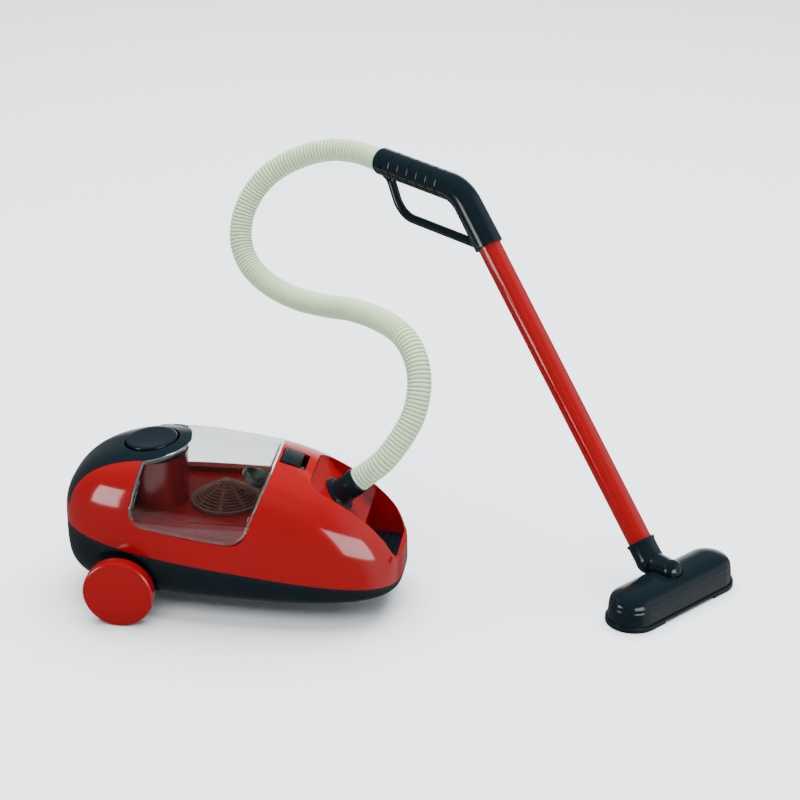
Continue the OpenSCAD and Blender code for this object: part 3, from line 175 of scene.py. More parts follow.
class WheelSizes(PropertyGroup):
    """Sizes of the rear wheels and their arches."""
    diameter: length("Diameter", "Diameter of the rear wheels", 72)
    width: length("Width", "Width of a rear wheel", 15)
    track_w: length("Track", "Distance between the wheels' outer faces", 184)
    edge_r: length("Edge", "Radius of the wheel's edges", 3)
    hub_r: length("Hub", "Radius of the hub on the inner side", 11)
    hub_l: length("Hub length", "Length of the hub on the inner side", 4)
    axle_r: length("Axle", "Radius of the axle's bore", 3.06)
    face_t: length("Face", "Thickness of the face over the axle", 3)
    arch_gap: length("Arch gap", "Gap between the wheel and its arch", 1.5)
    arch_y: length("Arch depth", "Distance from the middle to the arch's back wall", 60)


class HoseSizes(PropertyGroup):
    """Sizes of the ribbed hose."""
    diameter: length("Diameter", "Outer diameter of the hose", 25)
    bore: length("Bore", "Inner diameter of the hose", 19)
    rib_depth: length("Rib depth", "Depth of the grooves between the ribs", 1.5)
    ribs: IntProperty(name="Ribs", description="Number of ribs on the hose", default=190)


class WandSizes(PropertyGroup):
    """Sizes of the wand, its handle and its neck."""
    knuckle_x: length("Knuckle X", "Place of the nozzle's knuckle along the object", 276)
    knuckle_y: length("Knuckle Y", "Place of the nozzle's knuckle across the object", -83)
    knuckle_z: length("Knuckle Z", "Height of the knuckle's middle", 36)
    knuckle_d: length("Knuckle", "Diameter of the knuckle", 23)
    turn: angle("Turn", "Direction of the nozzle's length, from +X", 50.5)
    lean: angle("Lean", "Lean of the wand from upright", 41.25)
    arm_l: length("Arm", "Distance from the knuckle to the elbow", 29.4)
    arm_r: length("Arm radius", "Radius of the arm between knuckle and elbow", 11)
    elbow_r: length("Elbow", "Radius of the elbow", 14.9)
    sleeve_r: length("Sleeve", "Radius of the neck's sleeve", 14.5)
    sleeve_l: length("Sleeve length", "Length of the neck's sleeve", 22)
    tube_d: length("Wand", "Diameter of the wand", 25)
    tube_start: length("Wand start", "Where the wand starts above the elbow", 6)
    tube_l: length("Wand length", "Distance along the wand from the elbow to the handle", 366)
    insert: length("Insert", "How far the wand reaches into the handle", 26)
    handle_sleeve_r: length("Handle sleeve", "Radius of the handle at the wand", 15.5)
    corner: length("Corner", "Distance from the handle's foot to its corner", 66)
    bend_r: length("Bend", "Radius of the handle's bend", 38)
    grip_d: length("Grip", "Diameter of the grip", 30)
    grip_l: length("Grip length", "Length of the grip from the corner", 123)
    grip_bore_l: length("Grip bore", "Depth of the hose socket in the grip", 24)
    groove_first: length("First groove", "Distance from the grip's end to the first groove", 25.8)
    groove_pitch: length("Groove pitch", "Distance between grooves", 14.5)
    groove_w: length("Groove width", "Width of a groove", 2.2)
    groove_depth: length("Groove depth", "Depth of a groove", 1.3)
    grooves: IntProperty(name="Grooves", description="Number of grooves on the grip", default=6)
    pin_r: length("Pin hole", "Radius of the pin hole in the grip's side", 1.8)
    pin_x: length("Pin hole place", "Distance from the grip's end to the pin hole", 13)
    guard_r: length("Guard", "Radius of the guard's bar", 5)
    guard_drop: length("Guard drop", "How far the guard hangs under the grip", 53)
    guard_lead: length("Guard lead", "Where the guard's corner lies from the grip's end", 31.5)
    guard_lean: angle("Guard lean", "Slope of the guard's short leg", 64.4)
    guard_bend_r: length("Guard bend", "Radius of the guard's bend", 30)


class NozzleSizes(PropertyGroup):
    """Sizes of the floor nozzle."""
    reach: length("Length", "Length of the nozzle", 168)
    width: length("Width", "Width of the nozzle", 56)
    height: length("Height", "Height of the nozzle's crown", 34)
    sole_z: length("Sole", "Height of the sole above the floor", 3)
    sole_t: length("Sole thickness", "Thickness of the sole", 2.5)
    sole_edge: length("Sole edge", "How far the sole stands proud of the hood", 2)
    foot_inner: length("Foot", "Distance from the middle to a foot's inner end", 37)
    slot_w: length("Slot", "Width of the suction slot", 20)
    slot_margin: length("Slot margin", "How much shorter the slot is than the straight sides", 28)
    crease_z: length("Crease", "Height of the crease round the hood", 21)
    draft: length("Draft", "How far the hood's side leans in", 1.2)
    wall: length("Wall", "Wall of the hood", 2.2)
    seat_clear: length("Seat", "Gap round the knuckle", 0.5)
    screw_y: length("Screws", "Distance from the middle to a screw", 56)
    screw_r: length("Screw hole", "Radius of a screw's head recess", 3.3)


class FinishColours(PropertyGroup):
    """Colours of the finishes."""
    red: colour("Red", "Glossy red of the casing, wheels and wand", (0.20, 0.0018, 0.0034))
    # Painted shade: the casing red made darker for the dust chamber's pieces, standing in for the shade under the lid.
    inner: colour("Inner red", "Deeper red of the dust chamber", (0.095, 0.0011, 0.0018))
    dark: colour("Dark", "Dark teal of the tub, handle and nozzle", (0.0019, 0.0060, 0.0088))
    duct: colour("Duct", "Greyer dark of the duct's mouth", (0.035, 0.042, 0.036))
    clear: colour("Clear", "Clear plastic of the lid", (0.77, 0.785, 0.775))
    filter: colour("Filter", "Tinted plastic of the filter", (0.15, 0.075, 0.062))
    pale: colour("Pale", "Pale grey of the hose", (0.44, 0.54, 0.345))
    # Painted shade: the hose's grooves and bore are painted in this darker grey, standing in for the shade that falls
    # in them.
    groove: colour("Groove", "Darker grey in the hose's grooves", (0.055, 0.066, 0.045))
    steel: colour("Steel", "Bright steel of springs, screws and axles", (0.60, 0.60, 0.61))
    grey: colour("Grey", "Grey plastic of the inner pieces", (0.18, 0.185, 0.19))
    cell: colour("Cell", "Wrap of the battery cells", (0.50, 0.26, 0.05))
    floor: colour("Floor", "Pale floor of the stage", (0.85, 0.89, 0.93))


# Casing surface

def rounded_end(share, power):
    """Fullness of a rounded end, from 1 at its start to 0 at its tip."""
    share = min(1.0, max(0.0, share))
    return max(0.0, 1.0 - share ** power) ** (1.0 / power)


def bent(value, power):
    """A cosine or sine squared off, as on a superellipse."""
    return math.copysign(abs(value) ** (2.0 / power), value)


class Casing:
    """The casing's skin: its seam, plan, dome and belly, in the canister's own frame."""
    PLAN = (2.5, 3.4)
    DOME = (2.4, 7.0)
    BELLY = (5.0, 2.8)
    DOME_SECTION = 3.0
    BELLY_SECTION = 3.4

    def __init__(self, sizes):
        self.s = sizes

    def fullness(self, x, inset, powers):
        s = self.s
        if x < s.wide_x:
            return rounded_end((s.wide_x - x) / (s.wide_x + s.tail_l - inset), powers[0])
        return rounded_end((x - s.wide_x) / (s.nose_l - inset - s.wide_x), powers[1])

    def seam_z(self, x):
        s = self.s
        return s.seam_rear_z + (s.seam_front_z - s.seam_rear_z) * (x + s.tail_l) / (s.nose_l + s.tail_l)

    def half_w(self, x, inset=0.0):
        return (self.s.body_w / 2 - inset) * self.fullness(x, inset, self.PLAN)

    def dome(self, x, inset=0.0):
        s = self.s
        fall = max(0.0, (x - s.drop_x) / (s.nose_l - s.drop_x)) ** 2
        return (s.dome_h - inset - s.nose_drop * fall) * self.fullness(x, inset, self.DOME)

    def belly(self, x, inset=0.0):
        return (self.seam_z(x) - self.s.belly_z - inset) * self.fullness(x, inset, self.BELLY)

    def crown_z(self, x):
        return self.seam_z(x) + self.dome(x)

    def along(self, share, inset):
        """Station along the casing, closer together towards its ends."""
        s = self.s
        span = s.nose_l + s.tail_l - 2 * inset
        return -s.tail_l + inset + span * (1 - math.cos(math.pi * share)) / 2

    def dome_point(self, x, turn, inset=0.0):
        lift = self.s.seam_gap / 2
        height = max(0.0, self.dome(x, inset) - lift)
        return Vector((x, self.half_w(x, inset) * bent(math.cos(turn), self.DOME_SECTION),
                       self.seam_z(x) + lift + height * bent(math.sin(turn), self.DOME_SECTION)))

    def belly_point(self, x, turn, inset=0.0):
        lift = self.s.seam_gap / 2
        height = max(0.0, self.belly(x, inset) - lift)
        return Vector((x, self.half_w(x, inset) * bent(math.cos(turn), self.BELLY_SECTION),
                       self.seam_z(x) - lift - height * bent(math.sin(turn), self.BELLY_SECTION)))

    def skin(self, point, inset):
        """A half of the casing as a function of two shares."""
        return lambda u, v: point(self.along(u, inset), math.pi * v, inset)


# Frames

def canister_frame(scene):
    s = scene.toy_casing
    return Matrix.Translation((s.place_x, s.place_y, 0))


def tilted(frame_matrix, place, turn):
    """A frame at a place, leaned about the Y axis."""
    return frame_matrix @ Matrix.Translation(place) @ Matrix.Rotation(turn, 4, "Y")


def button_frame(scene):
    lid = scene.toy_lid
    crown = Casing(scene.toy_casing).crown_z(lid.button_x)
    return tilted(Matrix.Identity(4), (lid.button_x, 0, crown), -lid.button_tilt)


def latch_frame(scene):
    lid = scene.toy_lid
    casing = Casing(scene.toy_casing)
    half = lid.latch_l / 2
    rise = casing.crown_z(lid.latch_x + half) - casing.crown_z(lid.latch_x - half)
    return tilted(Matrix.Identity(4), (lid.latch_x, 0, casing.crown_z(lid.latch_x)),
                  -math.atan2(rise, lid.latch_l))


def seat_frame(scene):
    bay = scene.toy_bay
    return tilted(Matrix.Identity(4), (bay.seat_x, 0, bay.seat_z), math.pi / 2 - bay.cuff_lean)


def nozzle_frame(scene):
    s = scene.toy_wand
    return Matrix.Translation((s.knuckle_x, s.knuckle_y, 0)) @ Matrix.Rotation(s.turn - math.pi / 2, 4, "Z")


def wand_frame(scene):
    s = scene.toy_wand
    return tilted(Matrix.Identity(4), (-s.arm_l, 0, s.knuckle_z), -s.lean)


# Mesh making

def sheet(bm, columns, rows, place, shade=None):
    """A grid laid on a surface. place takes two shares from 0 to 1, and shade the first of them."""
    layer = bm.verts.layers.float.new("shade") if shade else None
    made = bmesh.ops.create_grid(bm, x_segments=columns, y_segments=rows, size=1.0)
    for vert in made["verts"]:
        u, v = (vert.co.x + 1) / 2, (vert.co.y + 1) / 2
        vert.co = place(u, v)
        if shade:
            vert[layer] = shade(u)


def tidy(bm, fill=True):
    """Merges doubles, closes open ends and points the faces outwards."""
    bmesh.ops.remove_doubles(bm, verts=bm.verts, dist=MERGE)
    bmesh.ops.dissolve_degenerate(bm, edges=bm.edges, dist=MERGE)
    if fill:
        bmesh.ops.holes_fill(bm, edges=[e for e in bm.edges if e.is_boundary], sides=0)
    bmesh.ops.recalc_face_normals(bm, faces=bm.faces)
    return bm


def shell(outer, inner, columns, rows, ends=False):
    """A wall between two skins. Its section runs out over one and back under the other.

    Skins that don't close at their ends are drawn together there.
    """
    total = 2 * rows + 2
    margin = 1 if ends else 0
    count = columns + 2 * margin
    bm = bmesh.new()

    def place(u, v):
        i = round(u * count)
        j = round(v * total) % total
        share = min(1.0, max(0.0, (i - margin) / columns))
        across = (j if j <= rows else 2 * rows + 1 - j) / rows
        if ends and i in (0, count):
            return (outer(share, across) + inner(share, across)) / 2
        return (outer if j <= rows else inner)(share, across)

    sheet(bm, count, total, place)
    return tidy(bm)


def rounded(corners, steps=10):
    """Points of an outline whose corners are given as (x, y, radius)."""
    points = []
    for i, (x, y, radius) in enumerate(corners):
        corner = Vector((x, y))
        if radius <= 0:
            points.append(corner)
            continue
        back = (Vector(corners[i - 1][:2]) - corner).normalized()
        ahead = (Vector(corners[(i + 1) % len(corners)][:2]) - corner).normalized()
        half = back.angle(ahead) / 2
        middle = corner + (back + ahead).normalized() * radius / math.sin(half)
        first = corner + back * radius / math.tan(half) - middle
        last = corner + ahead * radius / math.tan(half) - middle
        start = math.atan2(first.y, first.x)
        turn = (math.atan2(last.y, last.x) - start + math.pi) % (2 * math.pi) - math.pi
        for k in range(steps + 1):
            a = start + turn * k / steps
            points.append(middle + radius * Vector((math.cos(a), math.sin(a))))
    return points


def prism(outline, low, high, side_view=False):
    """A solid between two levels of an outline in plan, or across the width of one in side view."""
    def lay(point, level):
        return (point[0], level, point[1]) if side_view else (point[0], point[1], level)
    bm = bmesh.new()
    face = bm.faces.new([bm.verts.new(lay(p, low)) for p in outline])
    grown = bmesh.ops.extrude_face_region(bm, geom=[face])["geom"]
    moved = [v for v in grown if isinstance(v, bmesh.types.BMVert)]
    bmesh.ops.translate(bm, vec=lay((0, 0), high - low), verts=moved)
    return tidy(bm)


def spun(profile, steps=72, closed=False):
    """A solid of revolution about Z. The profile holds (radius, height) points."""
    bm = bmesh.new()
    verts = [bm.verts.new((r, 0, z)) for r, z in profile]
    pairs = list(zip(verts, verts[1:])) + ([(verts[-1], verts[0])] if closed else [])
    edges = [bm.edges.new(pair) for pair in pairs]
    bmesh.ops.spin(bm, geom=verts + edges, cent=(0, 0, 0), axis=(0, 0, 1), angle=2 * math.pi,
                   steps=steps, use_merge=True)
    return tidy(bm)


def swept(stations, ring_at, sides, shades=None):
    """A tube through stations of (distance, radius). A radius may depend on the turn round the tube."""
    count = len(stations) - 1
    bm = bmesh.new()

    def place(u, v):
        distance, radius = stations[round(u * count)]
        centre, across, up = ring_at(distance)
        turn = 2 * math.pi * v
        reach = radius(turn) if callable(radius) else radius
        return centre + reach * (math.cos(turn) * across + math.sin(turn) * up)

    sheet(bm, count, sides, place, shades and (lambda u: shades[round(u * count)]))
    return tidy(bm)


def box(low, high):
    """A block between two corners."""
    bm = bmesh.new()
    bmesh.ops.create_cube(bm, size=1.0)
    for vert in bm.verts:
        vert.co = [b if c > 0 else a for a, b, c in zip(low, high, vert.co)]
    return tidy(bm)


def soften(bm, radius, segments=3, limit=math.radians(40)):
    """Rounds every edge sharper than the limit."""
    edges = [e for e in bm.edges if e.is_manifold and e.calc_face_angle() > limit]
    bmesh.ops.bevel(bm, geom=edges, offset=radius, offset_type="OFFSET", segments=segments,
                    profile=0.5, affect="EDGES", material=-1, clamp_overlap=True)
    return bm


def moved(bm, matrix):
    """The same mesh in another frame."""
    bmesh.ops.transform(bm, matrix=matrix, verts=bm.verts)
    return bm


def joined(*meshes):
    """Several closed meshes as one."""
    bm = bmesh.new()
    for other in meshes:
        mesh = bpy.data.meshes.new("loose")
        other.to_mesh(mesh)
        other.free()
        bm.from_mesh(mesh)
        bpy.data.meshes.remove(mesh)
    return bm


def loose_object(name, bm):
    """An object of its own for a mesh, at the origin."""
    mesh = bpy.data.meshes.new(name)
    bm.to_mesh(mesh)
    bm.free()
    obj = bpy.data.objects.new(name, mesh)
    bpy.context.scene.collection.objects.link(obj)
    return obj


def carve(obj, other, operation):
    """Joins obj with another object, cuts it by it or keeps what they share. The other one is used up."""
    step = obj.modifiers.new("carve", "BOOLEAN")
    step.operation = operation
    step.solver = "EXACT"
    step.object = other
    graph = bpy.context.evaluated_depsgraph_get()
    result = bpy.data.meshes.new_from_object(obj.evaluated_get(graph))
    if not result.polygons:
        raise RuntimeError(f"nothing is left of {obj.name}")
    obj.modifiers.clear()
    for used in (obj.data, other.data):
        used.name = "used"
    old, spare = obj.data, other.data
    obj.data = result
    bpy.data.objects.remove(other, do_unlink=True)
    bpy.data.meshes.remove(old)
    bpy.data.meshes.remove(spare)
    return obj


def carved(bm, *steps):
    """A mesh after several joins and cuts, each given as (operation, mesh)."""
    obj = loose_object("carving", bm)
    for operation, other in steps:
        carve(obj, loose_object("tool", other), operation)
    result = bmesh.new()
    result.from_mesh(obj.data)
    mesh = obj.data
    bpy.data.objects.remove(obj, do_unlink=True)
    bpy.data.meshes.remove(mesh)
    return result


def finished(name, bm, matrix, material, body, nodes):
    """A piece in its place: smooth, with its material, riding on a body and standing for CAD nodes."""
    obj = loose_object(name, moved(bm, matrix))
    obj.data.name = name
    obj.data.materials.clear()
    obj.data.materials.append(material)
    obj.data.shade_smooth()
    obj.data.set_sharp_from_angle(angle=SMOOTH_ANGLE)
    if nodes:
        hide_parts(*nodes)
    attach(obj, body)
    return obj


# Materials

def node_group(name, inputs, outputs):
    """An empty shader node group with its sockets, given as (name, kind, default)."""
    group = bpy.data.node_groups.new(name, "ShaderNodeTree")
    for label, kind, default in inputs:
        socket = group.interface.new_socket(label, in_out="INPUT", socket_type=kind)
        socket.default_value = default
    for label, kind in outputs:
        group.interface.new_socket(label, in_out="OUTPUT", socket_type=kind)
    source = group.nodes.new("NodeGroupInput")
    sink = group.nodes.new("NodeGroupOutput")
    return group, source, sink


def add(tree, kind, values=(), **settings):
    """A node with its settings and with default values of its inputs."""
    node = tree.nodes.new(kind)
    for key, value in settings.items():
        setattr(node, key, value)
    for key, value in dict(values).items():
        node.inputs[key].default_value = value
    return node


def noise(tree, vector, scale, detail=3.0, roughness=0.55):
    """A noise pattern on the piece's own coordinates."""
    node = add(tree, "ShaderNodeTexNoise", {"Scale": scale, "Detail": detail, "Roughness": roughness})
    tree.links.new(vector, node.inputs["Vector"])
    return node.outputs["Fac"]


def spread(tree, value, low, high):
    """A value moved from the middle of a noise to a range."""
    node = add(tree, "ShaderNodeMapRange", {"From Min": 0.3, "From Max": 0.7})
    tree.links.new(value, node.inputs["Value"])
    for socket, end in ((node.inputs["To Min"], low), (node.inputs["To Max"], high)):
        if isinstance(end, (int, float)):
            socket.default_value = end
        else:
            tree.links.new(end, socket)
    return node.outputs["Result"]


def reckon(tree, operation, first, second):
    """One sum of two values or sockets."""
    node = add(tree, "ShaderNodeMath", operation=operation)
    for socket, value in zip(node.inputs, (first, second)):
        if isinstance(value, (int, float)):
            socket.default_value = value
        else:
            tree.links.new(value, socket)
    return node.outputs[0]


def mixed(tree, blend, factor, first, second):
    """Two colours mixed."""
    node = add(tree, "ShaderNodeMix", data_type="RGBA", blend_type=blend)
    sockets = (node.inputs[0], node.inputs[6], node.inputs[7])
    for socket, value in zip(sockets, (factor, first, second)):
        if hasattr(value, "links"):
            tree.links.new(value, socket)
        else:
            socket.default_value = value
    return node.outputs[2]


def moulded_surface_group():
    """Moulded plastic: slow colour drift, handling marks in the gloss and a faint ripple."""
    group, source, sink = node_group("moulded_surface", [
        ("Colour", "NodeSocketColor", (0.5, 0.5, 0.5, 1)), ("Drift", "NodeSocketFloat", 0.06),
        ("Roughness", "NodeSocketFloat", 0.2), ("Marks", "NodeSocketFloat", 0.08),
        ("Grain", "NodeSocketFloat", 900.0)],
        [("Colour", "NodeSocketColor"), ("Roughness", "NodeSocketFloat"), ("Height", "NodeSocketFloat")])
    place = add(group, "ShaderNodeTexCoord").outputs["Object"]
    slow = noise(group, place, 18.0)
    drift = reckon(group, "MULTIPLY", reckon(group, "SUBTRACT", slow, 0.5), source.outputs["Drift"])
    bright = add(group, "ShaderNodeHueSaturation")
    group.links.new(reckon(group, "ADD", drift, 1.0), bright.inputs["Value"])
    group.links.new(source.outputs["Colour"], bright.inputs["Color"])
    group.links.new(bright.outputs["Color"], sink.inputs["Colour"])
    stretched = add(group, "ShaderNodeMapping", {"Scale": (1.0, 9.0, 3.0), "Rotation": (0.4, 0.3, 0.9)})
    group.links.new(place, stretched.inputs["Vector"])
    scuffs = noise(group, stretched.outputs["Vector"], 60.0, 5.0, 0.7)
    smudges = noise(group, place, 42.0, 4.0)
    marks = reckon(group, "MULTIPLY", reckon(group, "MULTIPLY", scuffs, smudges), source.outputs["Marks"])
    group.links.new(reckon(group, "ADD", source.outputs["Roughness"], marks), sink.inputs["Roughness"])
    fine = add(group, "ShaderNodeTexNoise", {"Detail": 2.0})
    group.links.new(place, fine.inputs["Vector"])
    group.links.new(source.outputs["Grain"], fine.inputs["Scale"])
    ripple = reckon(group, "MULTIPLY", noise(group, place, 70.0, 1.0), 2.0)
    group.links.new(reckon(group, "ADD", fine.outputs["Fac"], ripple), sink.inputs["Height"])
    return group


def edge_wear_group():
    """Rubbed edges: a broken mask along ridges that lightens the colour and dulls the gloss."""
    group, source, sink = node_group("edge_wear", [
        ("Colour", "NodeSocketColor", (0.5, 0.5, 0.5, 1)), ("Rubbed", "NodeSocketColor", (0.6, 0.6, 0.6, 1)),
        ("Roughness", "NodeSocketFloat", 0.2), ("Amount", "NodeSocketFloat", 0.3)],
        [("Colour", "NodeSocketColor"), ("Roughness", "NodeSocketFloat")])
    ridge = add(group, "ShaderNodeMapRange", {"From Min": 0.53, "From Max": 0.62})
    group.links.new(add(group, "ShaderNodeNewGeometry").outputs["Pointiness"], ridge.inputs["Value"])
    place = add(group, "ShaderNodeTexCoord").outputs["Object"]
    broken = spread(group, noise(group, place, 240.0, 4.0, 0.65), 0.0, 1.0)
    mask = reckon(group, "MULTIPLY", ridge.outputs["Result"], broken)
    mask = reckon(group, "MULTIPLY", mask, source.outputs["Amount"])
    colours = mixed(group, "MIX", mask, source.outputs["Colour"], source.outputs["Rubbed"])
    group.links.new(colours, sink.inputs["Colour"])
    dull = reckon(group, "MULTIPLY", mask, 0.35)
    group.links.new(reckon(group, "ADD", source.outputs["Roughness"], dull), sink.inputs["Roughness"])
    return group


def dust_group():
    """Fine dust: pale specks and film in patches."""
    group, source, sink = node_group("fine_dust", [
        ("Colour", "NodeSocketColor", (0.5, 0.5, 0.5, 1)), ("Amount", "NodeSocketFloat", 0.05)],
        [("Colour", "NodeSocketColor")])
    place = add(group, "ShaderNodeTexCoord").outputs["Object"]
    specks = add(group, "ShaderNodeTexVoronoi", {"Scale": 520.0, "Randomness": 1.0})
    group.links.new(place, specks.inputs["Vector"])
    dots = add(group, "ShaderNodeMapRange", {"From Min": 0.16, "From Max": 0.05})
    group.links.new(specks.outputs["Distance"], dots.inputs["Value"])
    film = spread(group, noise(group, place, 26.0, 5.0, 0.6), 0.0, 1.0)
    mask = reckon(group, "MULTIPLY", reckon(group, "MULTIPLY", dots.outputs["Result"], film),
                  source.outputs["Amount"])
    group.links.new(mixed(group, "MIX", mask, source.outputs["Colour"], (0.62, 0.60, 0.56, 1)),
                    sink.inputs["Colour"])
    return group


def groove_group():
    """Shade in grooves: the colour turns darker where the mesh says so."""
    group, source, sink = node_group("groove_shade", [
        ("Colour", "NodeSocketColor", (0.5, 0.5, 0.5, 1)), ("Shade", "NodeSocketColor", (0.2, 0.2, 0.2, 1)),
        ("Amount", "NodeSocketFloat", 0.9)],
        [("Colour", "NodeSocketColor")])
    hollow = add(group, "ShaderNodeAttribute", attribute_name="shade")
    mask = reckon(group, "MULTIPLY", hollow.outputs["Fac"], source.outputs["Amount"])
    group.links.new(mixed(group, "MIX", mask, source.outputs["Colour"], source.outputs["Shade"]),
                    sink.inputs["Colour"])
    return group


def placed_group(tree, group, values):
    """A node group in a material, with its own values."""
    node = add(tree, "ShaderNodeGroup", node_tree=bpy.data.node_groups[group])
    for key, value in values.items():
        node.inputs[key].default_value = value
    return node


def opaque(values):
    """A colour with full alpha."""
    return (*values[:3], 1.0)


def plastic(name, base, roughness, marks=0.08, drift=0.08, grain=900.0, bump=0.02, wear=0.25, dust=0.04,
            gloss=0.5, edge=0.0):
    """A moulded plastic with handling marks, rubbed edges and a little dust."""
    material = bpy.data.materials.new(name)
    material.use_nodes = True
    tree = material.node_tree
    shader = tree.nodes["Principled BSDF"]
    shader.inputs["IOR"].default_value = 1.5
    shader.inputs["Specular IOR Level"].default_value = gloss
    surface = placed_group(tree, "moulded_surface", {
        "Colour": opaque(base), "Drift": drift, "Roughness": roughness, "Marks": marks, "Grain": grain})
    rubbed = opaque([0.75 * c + 0.12 for c in base])
    worn = placed_group(tree, "edge_wear", {"Rubbed": rubbed, "Amount": wear})
    dusty = placed_group(tree, "fine_dust", {"Amount": dust})
    relief = add(tree, "ShaderNodeBump", {"Strength": bump, "Distance": 0.0006})
    tree.links.new(surface.outputs["Colour"], worn.inputs["Colour"])
    tree.links.new(surface.outputs["Roughness"], worn.inputs["Roughness"])
    tree.links.new(worn.outputs["Colour"], dusty.inputs["Colour"])
    tree.links.new(dusty.outputs["Colour"], shader.inputs["Base Color"])
    tree.links.new(worn.outputs["Roughness"], shader.inputs["Roughness"])
    tree.links.new(surface.outputs["Height"], relief.inputs["Height"])
    tree.links.new(relief.outputs["Normal"], shader.inputs["Normal"])
    if edge:
        rounding = add(tree, "ShaderNodeBevel", {"Radius": edge}, samples=4)
        tree.links.new(rounding.outputs["Normal"], relief.inputs["Normal"])
    return material


def grooved_plastic(name, base, shade, roughness):
    """A plastic with painted shade: its grooves are painted darker than its ribs, where the mesh marks them."""
    material = plastic(name, base, roughness, drift=0.1, bump=0.04, wear=0.0, dust=0.1, gloss=0.3)
    tree = material.node_tree
    shaded = placed_group(tree, "groove_shade", {"Shade": opaque(shade)})
    target = tree.nodes["Principled BSDF"].inputs["Base Color"]
    tree.links.new(target.links[0].from_socket, shaded.inputs["Colour"])
    tree.links.new(shaded.outputs["Colour"], target)
    return material


def clear_plastic(name, base, roughness, clearness):
    """Clear moulded plastic that lets light through to what it covers."""
    material = plastic(name, base, roughness, marks=0.05, drift=0.03, bump=0.01, wear=0.0, dust=0.03)
    tree = material.node_tree
    shader = tree.nodes["Principled BSDF"]
    shader.inputs["Transmission Weight"].default_value = clearness
    shader.inputs["IOR"].default_value = 1.28
    through = add(tree, "ShaderNodeBsdfTransparent", {"Color": opaque([0.93 * c for c in base])})
    rays = add(tree, "ShaderNodeLightPath")
    mix = add(tree, "ShaderNodeMixShader")
    tree.links.new(rays.outputs["Is Shadow Ray"], mix.inputs[0])
    tree.links.new(shader.outputs[0], mix.inputs[1])
    tree.links.new(through.outputs[0], mix.inputs[2])
    tree.links.new(mix.outputs[0], tree.nodes["Material Output"].inputs["Surface"])
    return material


def metal(name, base, roughness):
    """Bright drawn metal with fine draw marks."""
    material = plastic(name, base, roughness, marks=0.25, drift=0.1, grain=2400.0, bump=0.05, wear=0.0, dust=0.02)
    material.node_tree.nodes["Principled BSDF"].inputs["Metallic"].default_value = 1.0
    return material


def make_materials(colours):
    """Every finish of the object, by name."""
    for build in (moulded_surface_group, edge_wear_group, dust_group, groove_group):
        build()
    return {
        "red": plastic("glossy_red", colours.red, 0.09, bump=0.005, wear=0.0, gloss=0.42, edge=0.7 * MM),
        # Painted shade: a darker copy of the red for the pieces inside the dust chamber.
        "shaded_red": plastic("inner_red_painted_shade", colours.inner, 0.18, wear=0.0, dust=0.0, gloss=0.4),
        "dark": plastic("dark_teal_gloss", colours.dark, 0.13, bump=0.006, wear=0.03, gloss=0.3),
        "dark_duct": plastic("dark_duct", colours.duct, 0.35, wear=0.0, dust=0.0, gloss=0.3),
        "dark_satin": plastic("dark_teal_satin", colours.dark, 0.3, bump=0.05, wear=0.1, gloss=0.2),
        "clear": clear_plastic("clear_lid", colours.clear, 0.02, 1.0),
        # Painted highlight: the edge band is a little milky, so the bead shows a bright line; it is also a little
        # rougher.
        "clear_edge_highlight": clear_plastic("clear_lid_edge_highlight", colours.clear, 0.06, 0.95),
        "filter": clear_plastic("tinted_filter", colours.filter, 0.2, 0.6),
        "pale": grooved_plastic("pale_hose", colours.pale, colours.groove, 0.38),
        "steel": metal("bright_steel", colours.steel, 0.2),
        "grey": plastic("grey_plastic", colours.grey, 0.4),
        "cell": plastic("cell_wrap", colours.cell, 0.25),
    }


MATERIALS = {}


# Outlines shared by the casings, the lid and the tail cover

def lid_outline(scene, inset):
    """The lid's outline in side view, open at the top."""
    lid = scene.toy_lid
    casing = Casing(scene.toy_casing)
    top = scene.toy_casing.body_w
    rear = (lid.rear_x + inset / math.cos(lid.rear_lean), casing.seam_z(lid.rear_x) + lid.sill)
    front = (lid.front_x - inset / math.cos(lid.front_lean), casing.seam_z(lid.front_x) + lid.sill)
    return rounded([
        (rear[0], rear[1] + inset, lid.corner_r), (front[0], front[1] + inset, lid.corner_r),
        (front[0] + top * math.tan(lid.front_lean), front[1] + top, 0),
        (rear[0] + top * math.tan(lid.rear_lean), rear[1] + top, 0)])


def tail_prism(scene, inset):
    """The tail cover's outline in plan, as a tall solid."""
    lid = scene.toy_lid
    s = scene.toy_casing
    steps = 48
    reach = lid.tail_r - inset
    arc = [(lid.button_x + reach * math.sin(math.pi * k / steps), -reach * math.cos(math.pi * k / steps))
           for k in range(steps + 1)]
    end = -s.tail_l - s.wall
    tail = [(end, lid.tail_end_w - inset), (end, inset - lid.tail_end_w)]
    return prism(arc + tail, lid.tail_low_z + inset, s.seam_rear_z + s.dome_h + s.wall)


def solid_half(casing, point, inset, columns=90, rows=64):
    """A half of the casing filled solid."""
    bm = bmesh.new()
    sheet(bm, columns, rows, casing.skin(point, inset))
    return tidy(bm)


def bay_solid(scene, grow):
    """The space of the hose bay, grown by a wall."""
    bay = scene.toy_bay
    s = scene.toy_casing
    top = s.seam_rear_z + s.dome_h
    half = bay.width / 2 + grow

    def seat_line(x):
        slope = (x - bay.seat_x) / math.tan(bay.cuff_lean)
        return bay.seat_z - slope - grow / math.sin(bay.cuff_lean)

    rear, front = bay.rear_x - grow, bay.front_x + grow
    end, low = bay.seat_end_x - grow, bay.floor_z - grow
    side = [(rear, seat_line(rear)), (end, seat_line(end)), (end, low), (front, low), (front, top), (rear, top)]
    radius = bay.corner_r + grow
    plan = rounded([(rear, -half, radius), (front, -half, radius), (front, half, radius), (rear, half, radius)])
    return carved(prism(side, -s.body_w, s.body_w, side_view=True), ("INTERSECT", prism(plan, 0.0, 2 * top)))


